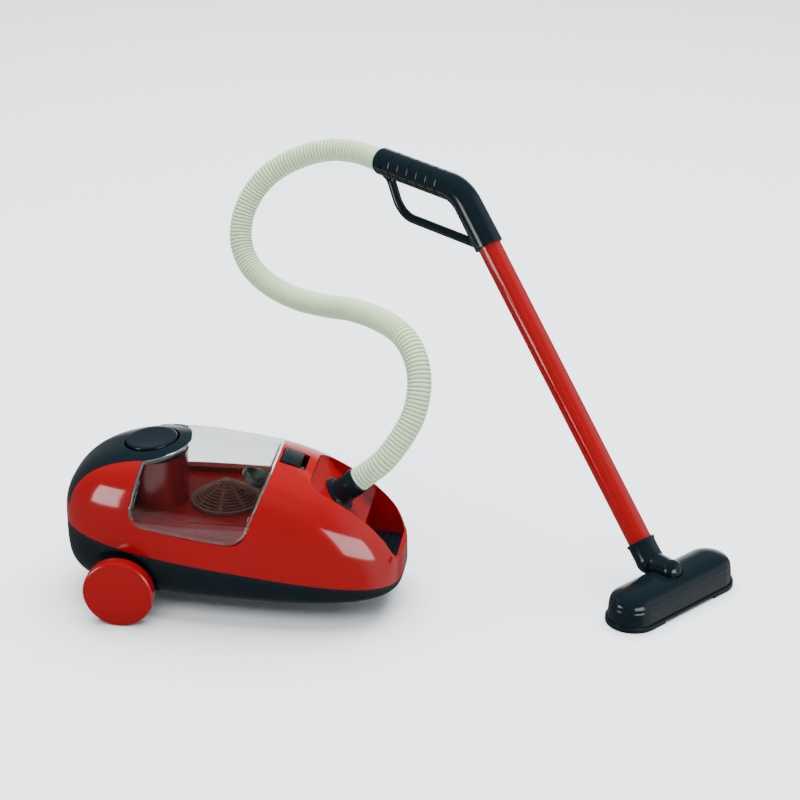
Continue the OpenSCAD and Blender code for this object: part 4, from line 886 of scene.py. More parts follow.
def along_y(bm, y, z):
    """A mesh about Z turned to lie about Y, at a height."""
    return moved(bm, Matrix.Translation((0, y, z)) @ Matrix.Rotation(-math.pi / 2, 4, "X"))


def cylinder(radius, low, high, steps=72, top_radius=None):
    """A plain cutting cylinder or cone about Z."""
    upper = radius if top_radius is None else top_radius
    return spun([(0, low), (radius, low), (upper, high), (0, high)], steps)


# Pieces

class ToyOperator(Operator):
    """Shared settings of the operators that make pieces."""
    bl_options = {"REGISTER", "UNDO"}


class TOYVAC_OT_stage(ToyOperator):
    """Make the camera, the floor and the studio lights"""
    bl_idname = "toy_vacuum.stage"
    bl_label = "Stage"

    def execute(self, context):
        scene = context.scene
        view = bpy.data.cameras.new("camera")
        view.lens = 108.0
        view.sensor_width = 36.0
        view.clip_end = 50.0
        camera = bpy.data.objects.new("camera", view)
        camera.location = (0.299318, -2.232412, 1.239958)
        camera.rotation_euler = (math.radians(90 - 25.4), 0.0, math.radians(8.0))
        scene.collection.objects.link(camera)
        scene.camera = camera

        bm = bmesh.new()
        bmesh.ops.create_grid(bm, x_segments=40, y_segments=40, size=12.0)
        floor = loose_object("floor", bm)
        paint = plastic("floor_paint", scene.toy_finish.floor, 0.55, drift=0.02, grain=300.0, bump=0.02,
                        wear=0.0, dust=0.0)
        floor.data.materials.append(paint)
        floor.visible_glossy = False

        world = bpy.data.worlds.new("studio")
        world.use_nodes = True
        sky = world.node_tree
        direction = add(sky, "ShaderNodeTexCoord").outputs["Generated"]
        split = add(sky, "ShaderNodeSeparateXYZ")
        sky.links.new(direction, split.inputs[0])
        backdrop = add(sky, "ShaderNodeMapRange", {"From Min": 0.9, "From Max": 0.99, "To Min": 0.22, "To Max": 2.2})
        sky.links.new(split.outputs["Y"], backdrop.inputs["Value"])
        side = add(sky, "ShaderNodeMapRange", {"From Min": 0.55, "From Max": 0.8, "To Min": 0.0, "To Max": 0.8})
        sky.links.new(split.outputs["X"], side.inputs["Value"])
        glow = reckon(sky, "ADD", backdrop.outputs["Result"], side.outputs["Result"])
        sky.links.new(glow, sky.nodes["Background"].inputs["Strength"])
        sky.nodes["Background"].inputs["Color"].default_value = (0.97, 0.99, 1.0, 1.0)
        scene.world = world

        middle = Vector((-0.15, -0.15, 0.1))
        lamps = [("left_softbox", (-1.32, -0.96, 0.27), 0.6, 0.6, 12.0, True),
                 ("right_softbox", (0.78, -1.05, 0.30), 0.85, 0.68, 17.0, True),
                 ("front_softbox", (-0.2, -1.7, 2.0), 2.2, 1.2, 62.0, False),
                 ("overhead_softbox", (0.0, 0.75, 2.7), 3.4, 3.0, 340.0, False)]
        for name, place, width, height, power, mirrored in lamps:
            light = bpy.data.lights.new(name, "AREA")
            light.shape = "RECTANGLE"
            light.size = width
            light.size_y = height
            light.energy = power
            lamp = bpy.data.objects.new(name, light)
            lamp.location = place
            lamp.visible_glossy = mirrored
            lamp.visible_transmission = mirrored
            lamp.visible_diffuse = not mirrored
            lamp.rotation_euler = (middle - Vector(place)).to_track_quat("-Z", "Y").to_euler()
            scene.collection.objects.link(lamp)
        return {"FINISHED"}


HOSE_POINTS = [
    (-110, 226, 360), (-136, 232, 355), (-164, 234, 344), (-190, 232, 328), (-210, 226, 306), (-221, 216, 280),
    (-221, 203, 254), (-208, 187, 233), (-182, 165, 221), (-146, 131, 221), (-106, 84, 235), (-68, 31, 255),
    (-32, -16, 266), (-5, -47, 264), (11, -68, 249), (17, -85, 228), (14, -99, 204), (2, -111, 180)]


class Route:
    """A smooth line through points, measured along its length."""

    def __init__(self, line, start_way, end_way):
        self.line = line
        self.ways = [(line[min(i + 1, len(line) - 1)] - line[max(i - 1, 0)]).normalized()
                     for i in range(len(line))]
        self.ways[0] = start_way.normalized()
        self.ways[-1] = end_way.normalized()
        self.along = [0.0]
        for a, b in zip(line, line[1:]):
            self.along.append(self.along[-1] + (b - a).length)
        self.length = self.along[-1]
        side = Vector((0, 0, 1))
        self.sides = []
        for way in self.ways:
            side = (side - way * side.dot(way)).normalized()
            self.sides.append(side)

    def ring(self, distance):
        """The middle of the tube at a distance, and two directions across it."""
        distance = min(self.length, max(0.0, distance))
        low = 0
        high = len(self.along) - 1
        while high - low > 1:
            middle = (low + high) // 2
            low, high = (middle, high) if self.along[middle] <= distance else (low, middle)
        t = (distance - self.along[low]) / (self.along[high] - self.along[low])
        centre = self.line[low].lerp(self.line[high], t)
        way = self.ways[low].lerp(self.ways[high], t).normalized()
        across = self.sides[low].lerp(self.sides[high], t)
        across = (across - way * across.dot(way)).normalized()
        return centre, across, way.cross(across)


def grip_end(scene):
    """The grip's end in the nozzle's frame, and the corner of the handle."""
    s = scene.toy_wand
    reach = s.tube_l + s.corner
    corner = Vector((-s.arm_l - reach * math.sin(s.lean), 0, s.knuckle_z + reach * math.cos(s.lean)))
    return corner - Vector((s.grip_l, 0, 0)), corner


def hose_route(scene):
    """The hose's middle line from the cuff to the grip, straight for one diameter at both ends."""
    bay = scene.toy_bay
    reach = scene.toy_hose.diameter
    steps = 12
    fore = (nozzle_frame(scene).to_3x3() @ Vector((1, 0, 0))).normalized()
    start = nozzle_frame(scene) @ grip_end(scene)[0]
    seat = canister_frame(scene) @ seat_frame(scene)
    axis = (seat.to_3x3() @ Vector((0, 0, 1))).normalized()
    end = seat @ Vector((0, 0, bay.flange_t + bay.barrel_l))
    knots = [start - fore * reach] + [Vector(p) * MM for p in HOSE_POINTS] + [end + axis * reach]
    slopes = [(b - a) / 2 for a, b in zip(knots, knots[2:])]
    slopes = [-fore * (knots[1] - knots[0]).length] + slopes + [-axis * (knots[-1] - knots[-2]).length]
    line = [start]
    for i in range(len(knots) - 1):
        for k in range(steps):
            t = k / steps
            line.append((2 * t ** 3 - 3 * t ** 2 + 1) * knots[i] + (t ** 3 - 2 * t ** 2 + t) * slopes[i]
                        + (3 * t ** 2 - 2 * t ** 3) * knots[i + 1] + (t ** 3 - t ** 2) * slopes[i + 1])
    line += [knots[-1], end]
    line.reverse()
    return Route(line, axis, fore)


class TOYVAC_OT_hose(ToyOperator):
    """Make the ribbed hose from the cuff to the grip"""
    bl_idname = "toy_vacuum.hose"
    bl_label = "Hose"

    def execute(self, context):
        scene = context.scene
        s = scene.toy_hose
        route = hose_route(scene)
        rings = 8
        count = s.ribs * rings
        outer = []
        shades = []
        for i in range(count + 1):
            swell = abs(math.sin(math.pi * i / rings)) ** 0.45
            outer.append((route.length * i / count, s.diameter / 2 - s.rib_depth * (1 - swell)))
            # Painted shade: each groove's bottom and the whole bore are marked to take the darker groove colour.
            shades.append(1.0 if i % rings == 0 else 0.0)
        bore = [(route.length * (1 - i / s.ribs), s.bore / 2) for i in range(s.ribs + 1)]
        bm = swept(outer + bore + outer[:1], route.ring, 28, shades + [1.0] * (len(bore) + 1))
        obj = loose_object("ribbed_hose", bm)
        obj.data.materials.append(MATERIALS["pale"])
        obj.data.shade_smooth()
        obj.data.set_sharp_from_angle(angle=math.radians(60))
        start = route.line[0]
        end = route.line[-1]
        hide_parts("hose")
        start.lerp(end, 0.97)
        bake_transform(obj)
        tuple(start)
        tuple(start)
        [tuple(p) for p in route.line]
        return {"FINISHED"}


class TOYVAC_OT_casings(ToyOperator):
    """Make the red upper casing and the dark tub"""
    bl_idname = "toy_vacuum.casings"
    bl_label = "Casings"

    def execute(self, context):
        scene = context.scene
        self.upper(scene)
        self.tub(scene)
        return {"FINISHED"}

    def upper(self, scene):
        s, bay, lid = scene.toy_casing, scene.toy_bay, scene.toy_lid
        casing = Casing(s)
        top = s.seam_rear_z + s.dome_h
        skin = shell(casing.skin(casing.dome_point, 0.0), casing.skin(casing.dome_point, s.wall), 150, 110)
        walls = carved(bay_solid(scene, s.wall),
                       ("INTERSECT", solid_half(casing, casing.dome_point, s.wall / 2)))
        notch = prism([(bay.front_x - bay.lip_lead, bay.lip_z + bay.lip_rise), (bay.front_x, bay.lip_z),
                       (s.nose_l + s.wall, bay.lip_z), (s.nose_l + s.wall, top),
                       (bay.front_x - bay.lip_lead, top)], -s.body_w, s.body_w, side_view=True)
        half_l, half_w = lid.latch_l / 2 + lid.latch_play, lid.latch_w / 2 + lid.latch_play
        slot = moved(box((-half_l, -half_w, -2 * lid.latch_depth),
                         (half_l + lid.latch_travel, half_w, 2 * lid.latch_depth)), latch_frame(scene))
        opening = prism(lid_outline(scene, 0.0), -s.body_w, s.body_w, side_view=True)
        half = bay.width / 2 + s.wall
        nose = carved(box((bay.front_x, -half, bay.floor_z), (s.nose_l, half, top)),
                      ("INTERSECT", solid_half(casing, casing.dome_point, s.wall / 2)))
        bm = carved(skin, ("UNION", walls), ("UNION", nose), ("DIFFERENCE", bay_solid(scene, 0.0)),
                    ("DIFFERENCE", notch),
                    ("DIFFERENCE", opening), ("DIFFERENCE", tail_prism(scene, 0.0)), ("DIFFERENCE", slot))
        finished("red_casing", bm, canister_frame(scene), MATERIALS["red"], "canister", ["upper_shell"])

    def tub(self, scene):
        s, wheels = scene.toy_casing, scene.toy_wheels
        casing = Casing(s)
        radius = wheels.diameter / 2
        arch_r = radius + wheels.arch_gap
        bm = shell(casing.skin(casing.belly_point, 0.0), casing.skin(casing.belly_point, s.wall), 140, 90)
        for side in (-1, 1):
            turned = Matrix.Scale(side, 4, (0, 1, 0))
            liner = along_y(cylinder(arch_r + s.wall, wheels.arch_y - s.wall, s.body_w / 2), 0, radius)
            liner = tidy(moved(liner, turned), fill=False)
            hollow = along_y(cylinder(arch_r, wheels.arch_y, s.body_w), 0, radius)
            hollow = tidy(moved(hollow, turned), fill=False)
            inside = carved(liner, ("INTERSECT", solid_half(casing, casing.belly_point, s.wall / 2)))
            bm = carved(bm, ("UNION", inside), ("DIFFERENCE", hollow))
        finished("dark_tub", bm, canister_frame(scene), MATERIALS["dark_satin"], "canister", ["base_tub"])


class TOYVAC_OT_tail(ToyOperator):
    """Make the tail cover and the power button in it"""
    bl_idname = "toy_vacuum.tail"
    bl_label = "Tail cover and button"

    def execute(self, context):
        scene = context.scene
        s, lid = scene.toy_casing, scene.toy_lid
        casing = Casing(s)
        place = button_frame(scene)
        hole = lid.button_d / 2 + lid.well_gap
        low = -lid.well_depth
        well = moved(cylinder(hole + s.wall, low - s.wall, lid.button_t), place)
        well = carved(well, ("INTERSECT", solid_half(casing, casing.dome_point, s.wall / 2)))
        bevel = moved(cylinder(hole, -lid.well_bevel, lid.well_bevel, top_radius=hole + 2 * lid.well_bevel), place)
        skin = shell(casing.skin(casing.dome_point, 0.0), casing.skin(casing.dome_point, s.wall), 150, 110)
        bm = carved(skin, ("INTERSECT", tail_prism(scene, lid.tail_gap)), ("UNION", well),
                    ("DIFFERENCE", moved(cylinder(hole, low, lid.button_t), place)), ("DIFFERENCE", bevel))
        frame_matrix = canister_frame(scene)
        finished("tail_shield", bm, frame_matrix, MATERIALS["dark"], "canister", ["tail_cover"])
        radius = lid.button_d / 2
        dish = 0.6 * MM
        foot = lid.button_proud - lid.button_t
        outline = rounded([(-radius, foot, 0), (radius, foot, 0), (radius, lid.button_proud, 1.6 * MM),
                           (-radius, lid.button_proud, 1.6 * MM)], 6)
        rim = [tuple(p) for p in outline if p[0] >= 0 and p[1] > foot]
        profile = [(0, foot), (radius, foot)] + rim
        inner = rim[-1][0]
        profile += [(inner * k / 6, lid.button_proud - dish * (1 - (k / 6) ** 2)) for k in range(5, -1, -1)]
        finished("round_button", spun(profile, 96), frame_matrix @ place, MATERIALS["dark"], "power_button",
                 ["power_button"])
        return {"FINISHED"}


class TOYVAC_OT_lid(ToyOperator):
    """Make the clear lid with its raised edge"""
    bl_idname = "toy_vacuum.lid"
    bl_label = "Clear lid"

    def execute(self, context):
        scene = context.scene
        lid = scene.toy_lid
        casing = Casing(scene.toy_casing)
        skin = self.skin
        bm = shell(lambda u, v: skin(casing, lid, u, v, 0.0), lambda u, v: skin(casing, lid, u, v, lid.wall),
                   130, 180, ends=True)
        bm = carved(bm, ("DIFFERENCE", tail_prism(scene, -lid.gap)))
        place = canister_frame(scene)
        obj = finished("clear_cover", bm, place, MATERIALS["clear"], "dust_lid", ["dust_lid"])
        obj.data.materials.append(MATERIALS["clear_edge_highlight"])
        # Faces near the lid's edge get the slightly milky, rougher clear: a painted highlight for the bright line
        # along the bead.
        for face in obj.data.polygons:
            face.material_index = int(self.edge(casing, lid, face.center - place.translation) < 0.6 * lid.bead_w)
        return {"FINISHED"}

    @staticmethod
    def span(lid, rise):
        """Where the lid starts and ends along the canister, at a height above its lower edge."""
        curve = min(rise, lid.corner_r)
        corner = lid.corner_r - math.sqrt(max(0.0, lid.corner_r ** 2 - (lid.corner_r - curve) ** 2))
        return (lid.rear_x + lid.gap + rise * math.tan(lid.rear_lean) + corner,
                lid.front_x - lid.gap + rise * math.tan(lid.front_lean) - corner)

    @classmethod
    def edge(cls, casing, lid, point):
        """Distance of a point of the lid from its edge."""
        rise = point.z - casing.seam_z(point.x) - lid.sill - lid.gap
        rear, front = cls.span(lid, max(0.0, rise))
        tongue = math.hypot(max(0.0, point.x - lid.button_x), point.y) - lid.tail_r - lid.gap
        return min((point.x - rear) * math.cos(lid.rear_lean), (front - point.x) * math.cos(lid.front_lean),
                   rise, tongue)

    @classmethod
    def skin(cls, casing, lid, u, v, inset):
        """A point of the lid: u runs from its rear edge to its front edge, v from side to side."""
        crowd = u + 0.11 * math.sin(-2 * math.pi * u)
        climb = v + 0.05 * math.sin(-2 * math.pi * v)
        x = lid.rear_x + (lid.front_x - lid.rear_x) * u
        for _ in range(6):
            sill = math.asin(min(1.0, ((lid.sill + lid.gap) / casing.dome(x)) ** (Casing.DOME_SECTION / 2)))
            turn = sill + (math.pi - 2 * sill) * climb
            rise = casing.dome(x) * bent(math.sin(turn), Casing.DOME_SECTION) - lid.sill - lid.gap
            rear, front = cls.span(lid, rise)
            x = rear + (front - rear) * crowd
        point = casing.dome_point(x, turn, inset)
        if inset:
            return point
        edge = max(0.0, cls.edge(casing, lid, point))
        share = min(1.0, max(0.0, 1.0 - abs(2 * edge / lid.bead_w - 1.0)))
        outward = point - Vector((x, 0, casing.seam_z(x)))
        return point + outward.normalized() * lid.bead_h * math.sqrt(share) * (2 - math.sqrt(share))


class TOYVAC_OT_latch(ToyOperator):
    """Make the ribbed latch in front of the lid"""
    bl_idname = "toy_vacuum.latch"
    bl_label = "Latch"

    def execute(self, context):
        scene = context.scene
        lid = scene.toy_lid
        half_l, half_w = lid.latch_l / 2, lid.latch_w / 2
        body = soften(box((-half_l, -half_w, -lid.latch_depth), (half_l, half_w, lid.latch_proud)), 0.6 * MM)
        pieces = [body]
        pitch = lid.latch_l / lid.latch_ribs
        for i in range(lid.latch_ribs):
            end = half_w - lid.latch_rib_r
            r = lid.latch_rib_r
            bar = spun([(0, -end - r), (r * 0.7, -end - r * 0.7), (r, -end), (r, end), (r * 0.7, end + r * 0.7),
                        (0, end + r)], 20)
            turn = Matrix.Rotation(math.pi / 2, 4, "X")
            spot = Matrix.Translation((-half_l + pitch * (i + 0.5), 0, lid.latch_proud))
            pieces.append(moved(bar, spot @ turn))
        place = canister_frame(scene) @ latch_frame(scene)
        finished("ribbed_latch", joined(*pieces), place, MATERIALS["dark_satin"], "lid_latch",
                 ["lid_latch"])
        return {"FINISHED"}


class TOYVAC_OT_wheels(ToyOperator):
    """Make the two red rear wheels"""
    bl_idname = "toy_vacuum.wheels"
    bl_label = "Rear wheels"

    def execute(self, context):
        scene = context.scene
        s = scene.toy_wheels
        radius = s.diameter / 2
        foot = s.track_w / 2 - s.width
        top = s.track_w / 2
        crown = 0.8 * MM
        tyre = rounded([(0, foot, 0), (radius, foot, s.edge_r), (radius, top - crown, s.edge_r), (0, top, 0)], 8)
        rim = [tuple(p) for p in tyre[1:-1]]
        profile = [(0, top - s.face_t), (s.axle_r, top - s.face_t), (s.axle_r, foot - s.hub_l),
                   (s.hub_r, foot - s.hub_l), (s.hub_r, foot)] + rim
        profile += [(rim[-1][0] * k / 8, top - crown * (k / 8) ** 2) for k in range(7, -1, -1)]
        for name, node, side in (("left", "wheel_left", 1), ("right", "wheel_right", -1)):
            bm = along_y(spun(profile, 120), 0, radius)
            if side < 0:
                bm = tidy(moved(bm, Matrix.Scale(-1, 4, (0, 1, 0))), fill=False)
            finished(f"{name}_wheel", bm, canister_frame(scene), MATERIALS["red"], node, [node])
        return {"FINISHED"}


class TOYVAC_OT_cuff(ToyOperator):
    """Make the flanged cuff that holds the hose in the bay, and the bay's dark floor"""
    bl_idname = "toy_vacuum.cuff"
    bl_label = "Hose cuff and bay floor"

    def execute(self, context):
        self.cuff(context.scene)
        self.floor(context.scene)
        return {"FINISHED"}

    def floor(self, scene):
        s = scene.toy_bay
        rear, front = s.seat_end_x + s.plate_gap, s.front_x - s.plate_gap
        half = s.width / 2 - s.plate_gap
        plan = rounded([(rear, -half, 0), (front, -half, s.corner_r), (front, half, s.corner_r), (rear, half, 0)])
        plate = soften(prism(plan, s.floor_z, s.floor_z + s.plate_t), 0.6 * MM)
        grooves = []
        for k in range(1, 5):
            x = rear + (front - rear) * k / 5
            grooves.append(("DIFFERENCE", box((x - 1.2 * MM, -0.9 * half, s.floor_z + s.plate_t - 1.2 * MM),
                                              (x + 1.2 * MM, 0.9 * half, s.floor_z + 2 * s.plate_t))))
        finished("bay_floor", carved(plate, *grooves), canister_frame(scene), MATERIALS["dark_satin"], "canister",
                 ["bay_grille"])

    def cuff(self, scene):
        s = scene.toy_bay
        bore = scene.toy_hose.bore / 2
        top = s.flange_t + s.barrel_l
        flange = s.flange_d / 2
        ring = 0.5 * MM
        outline = rounded([
            (bore, s.flange_t, 0), (bore, 0, 0), (flange, 0, 0), (flange, s.flange_t, 1.2 * MM),
            (s.barrel_r + ring, s.flange_t, 0.4 * MM), (s.barrel_r, top * 0.45, 0),
            (s.barrel_r, top, 1.0 * MM), (bore, top, 0)], 5)
        bm = spun([tuple(p) for p in outline], 96, closed=True)
        place = canister_frame(scene) @ seat_frame(scene)
        finished("dark_cuff", bm, place, MATERIALS["dark"], "canister", ["hose_cuff"])


class TOYVAC_OT_chamber(ToyOperator):
    """Make the ledge round the dust tray and the duct that opens over it"""
    bl_idname = "toy_vacuum.chamber"
    bl_label = "Dust chamber"

    def execute(self, context):
        self.ledge(context.scene)
        self.duct(context.scene)
        return {"FINISHED"}

    def ledge(self, scene):
        s, chamber = scene.toy_casing, scene.toy_chamber
        casing = Casing(s)
        side, top, t = s.body_w, chamber.ledge_z, chamber.ledge_t
        inset = s.wall - chamber.bite
        wall = shell(casing.skin(casing.dome_point, inset), casing.skin(casing.dome_point, inset + t), 120, 90)
        hole = box((chamber.tray_rear_x, -chamber.tray_half, 0), (chamber.tray_front_x, chamber.tray_half, 2 * top))
        plate = carved(solid_half(casing, casing.dome_point, inset + t / 2),
                       ("INTERSECT", box((-side, -side, top - t), (2 * side, side, top))), ("DIFFERENCE", hole))
        bm = carved(wall, ("INTERSECT", box((-side, -side, 0), (2 * side, side, top - t / 4))), ("UNION", plate),
                    ("INTERSECT", prism(lid_outline(scene, -chamber.ledge_lap), -side, side, side_view=True)))
        # The ledge takes the darker red, painted shade inside the chamber.
        finished("chamber_ledge", bm, canister_frame(scene), MATERIALS["shaded_red"], "canister", [])

    def duct(self, scene):
        s = scene.toy_chamber
        seat = seat_frame(scene)
        elbow = seat @ Vector((0, 0, -s.duct_drop))
        mouth = Vector((s.mouth_x, 0, elbow.z + (elbow.x - s.mouth_x) * math.tan(s.duct_rise)))
        way = mouth - elbow
        along = Matrix.Translation(elbow) @ way.to_track_quat("Z", "Y").to_matrix().to_4x4()
        ball = bmesh.new()
        bmesh.ops.create_uvsphere(ball, u_segments=48, v_segments=32, radius=s.duct_r)
        ring_place = tilted(Matrix.Identity(4), mouth, s.mouth_lean)
        ring = soften(cylinder(s.mouth_r, -0.75 * s.mouth_h, 0.25 * s.mouth_h), 0.8 * MM)
        bore = cylinder(s.mouth_bore, -2 * s.mouth_r, 2 * s.mouth_r)
        bm = carved(moved(ball, Matrix.Translation(elbow)), ("UNION", moved(cylinder(s.duct_r, 0, way.length), along)),
                    ("UNION", moved(cylinder(s.duct_r, -s.duct_drop, 0), seat)),
                    ("UNION", moved(ring, ring_place)), ("DIFFERENCE", moved(bore, ring_place)))
        finished("dark_duct", bm, canister_frame(scene), MATERIALS["dark_duct"], "canister", ["intake_duct"])


class TOYVAC_OT_wand(ToyOperator):
    """Make the wand, its handle and its neck"""
    bl_idname = "toy_vacuum.wand"
    bl_label = "Wand, handle and neck"

    def execute(self, context):
        scene = context.scene
        self.tube(scene)
        self.handle(scene)
        self.neck(scene)
        return {"FINISHED"}

    def tube(self, scene):
        s = scene.toy_wand
        r = s.tube_d / 2
        wall = 1.5 * MM
        low, high = s.tube_start, s.tube_l + s.insert
        steps = 24
        outer = [(r, low + (high - low) * k / steps) for k in range(steps + 1)]
        profile = outer + [(r - wall, high), (r - wall, low)]
        place = nozzle_frame(scene) @ wand_frame(scene)
        finished("red_wand", spun(profile, 72, closed=True), place, MATERIALS["red"], "wand", ["wand_tube"])

    def handle(self, scene):
        s = scene.toy_wand
        turn = math.pi / 2 - s.lean
        tangent = s.bend_r * math.tan(turn / 2)
        end, corner = grip_end(scene)
        up = Vector((-math.sin(s.lean), 0, math.cos(s.lean)))
        line = [corner - up * s.corner, corner - up * tangent]
        middle = Vector((corner.x - tangent, 0, corner.z - s.bend_r))
        steps = 24
        for k in range(1, steps):
            a = s.lean + turn * k / steps
            line.append(middle + s.bend_r * Vector((math.cos(a), 0, math.sin(a))))
        line += [corner - Vector((tangent, 0, 0)), end]
        path = Route(line, up, Vector((-1, 0, 0)))
        grip, bore = s.grip_d / 2, scene.toy_hose.bore / 2
        socket = s.tube_d / 2 + 0.02 * MM
        whole = path.length
        lip = 1.2 * MM
        stations = [(s.insert + 1 * MM, socket), (0, socket), (0, s.handle_sleeve_r - lip / 2),
                    (0.2 * lip, s.handle_sleeve_r - 0.1 * lip), (lip, s.handle_sleeve_r)]
        rise = s.corner - tangent
        plain = 48
        grooves = [whole - s.groove_first - s.groove_pitch * i for i in range(s.grooves)]
        body = sorted([lip + (whole - 3 * lip) * k / plain for k in range(1, plain + 1)]
                      + [g + d * s.groove_w for g in grooves for d in (-0.62, -0.5, -0.25, 0.0, 0.25, 0.5, 0.62)])

        def girth(distance):
            share = min(1.0, max(0.0, distance / rise))
            radius = s.handle_sleeve_r + (grip - s.handle_sleeve_r) * share
            near = min(abs(distance - g) for g in grooves) / (s.groove_w / 2)
            return radius - s.groove_depth * max(0.0, 1.0 - near ** 2)

        stations += [(d, girth(d)) for d in body]
        stations += [(whole - 1.5 * lip, grip), (whole - lip, grip), (whole - 0.2 * lip, grip - 0.25 * lip),
                     (whole, grip - lip), (whole, bore), (whole - s.grip_bore_l, bore)]
        hole = along_y(cylinder(s.pin_r, -grip - MM, 3 * MM - grip, 24), 0, end.z)
        hole = moved(hole, Matrix.Translation((end.x + s.pin_x, 0, 0)))
        bm = carved(swept(stations, path.ring, 72), ("DIFFERENCE", hole))
        finished("dark_handle", joined(bm, self.guard(s, end, corner)), nozzle_frame(scene), MATERIALS["dark"],
                 "wand", ["handle"])

    @staticmethod
    def guard(s, end, corner):
        """The guard bar under the grip."""
        level = corner.z - s.guard_drop
        elbow = Vector((end.x + s.guard_lead, 0, level))
        tangent = s.guard_bend_r * math.tan(s.guard_lean / 2)
        foot = Vector((-s.arm_l - (level - s.knuckle_z) * math.tan(s.lean), 0, level))
        leg = Vector((-math.cos(s.guard_lean), 0, math.sin(s.guard_lean)))
        rise = s.guard_drop - s.grip_d / 4
        line = [foot, elbow + Vector((tangent, 0, 0))]
        middle = elbow + Vector((tangent, 0, s.guard_bend_r))
        steps = 20
        for k in range(1, steps):
            a = -math.pi / 2 - s.guard_lean * k / steps
            line.append(middle + s.guard_bend_r * Vector((math.cos(a), 0, math.sin(a))))
        line += [elbow + leg * tangent, elbow + leg * rise / math.sin(s.guard_lean)]
        path = Route(line, Vector((-1, 0, 0)), leg)
        flare, spread_l = 1.6, 9 * MM
        stations = []
        count = 90
        for i in range(count + 1):
            d = path.length * i / count
            near = min(d - s.grip_d / 3, path.length - d - s.grip_d / 5) / spread_l
            swell = max(0.0, 1.0 - max(0.0, near)) ** 3
            stations.append((d, s.guard_r * (1 + (flare - 1) * swell)))
        return swept(stations, path.ring, 32)

    def neck(self, scene):
        s = scene.toy_wand
        place = wand_frame(scene)
        inner = s.tube_d / 2 + 0.02 * MM
        lip = 0.9 * MM
        sleeve = spun([(0, 0), (s.sleeve_r, 0), (s.sleeve_r, s.sleeve_l - 3.4 * MM),
                       (s.sleeve_r + lip, s.sleeve_l - 3.0 * MM), (s.sleeve_r + lip, s.sleeve_l - 0.5 * MM),
                       (s.sleeve_r + lip / 2, s.sleeve_l), (inner, s.sleeve_l), (inner, s.tube_start),
                       (0, s.tube_start)], 80)
        level = Matrix.Translation((0, 0, s.knuckle_z)) @ Matrix.Rotation(-math.pi / 2, 4, "Y")
        arm = moved(cylinder(s.arm_r, 0, s.arm_l, 72), level)
        balls = []
        for x, r in ((0.0, s.knuckle_d / 2), (-s.arm_l, s.elbow_r)):
            ball = bmesh.new()
            bmesh.ops.create_uvsphere(ball, u_segments=72, v_segments=48, radius=r)
            balls.append(moved(ball, Matrix.Translation((x, 0, s.knuckle_z)) @ Matrix.Rotation(0.4, 4, "Y")))
        bm = carved(moved(sleeve, place), ("UNION", balls[1]), ("UNION", arm), ("UNION", balls[0]))
        finished("dark_neck", bm, nozzle_frame(scene), MATERIALS["dark"], "wand", ["nozzle_neck"])


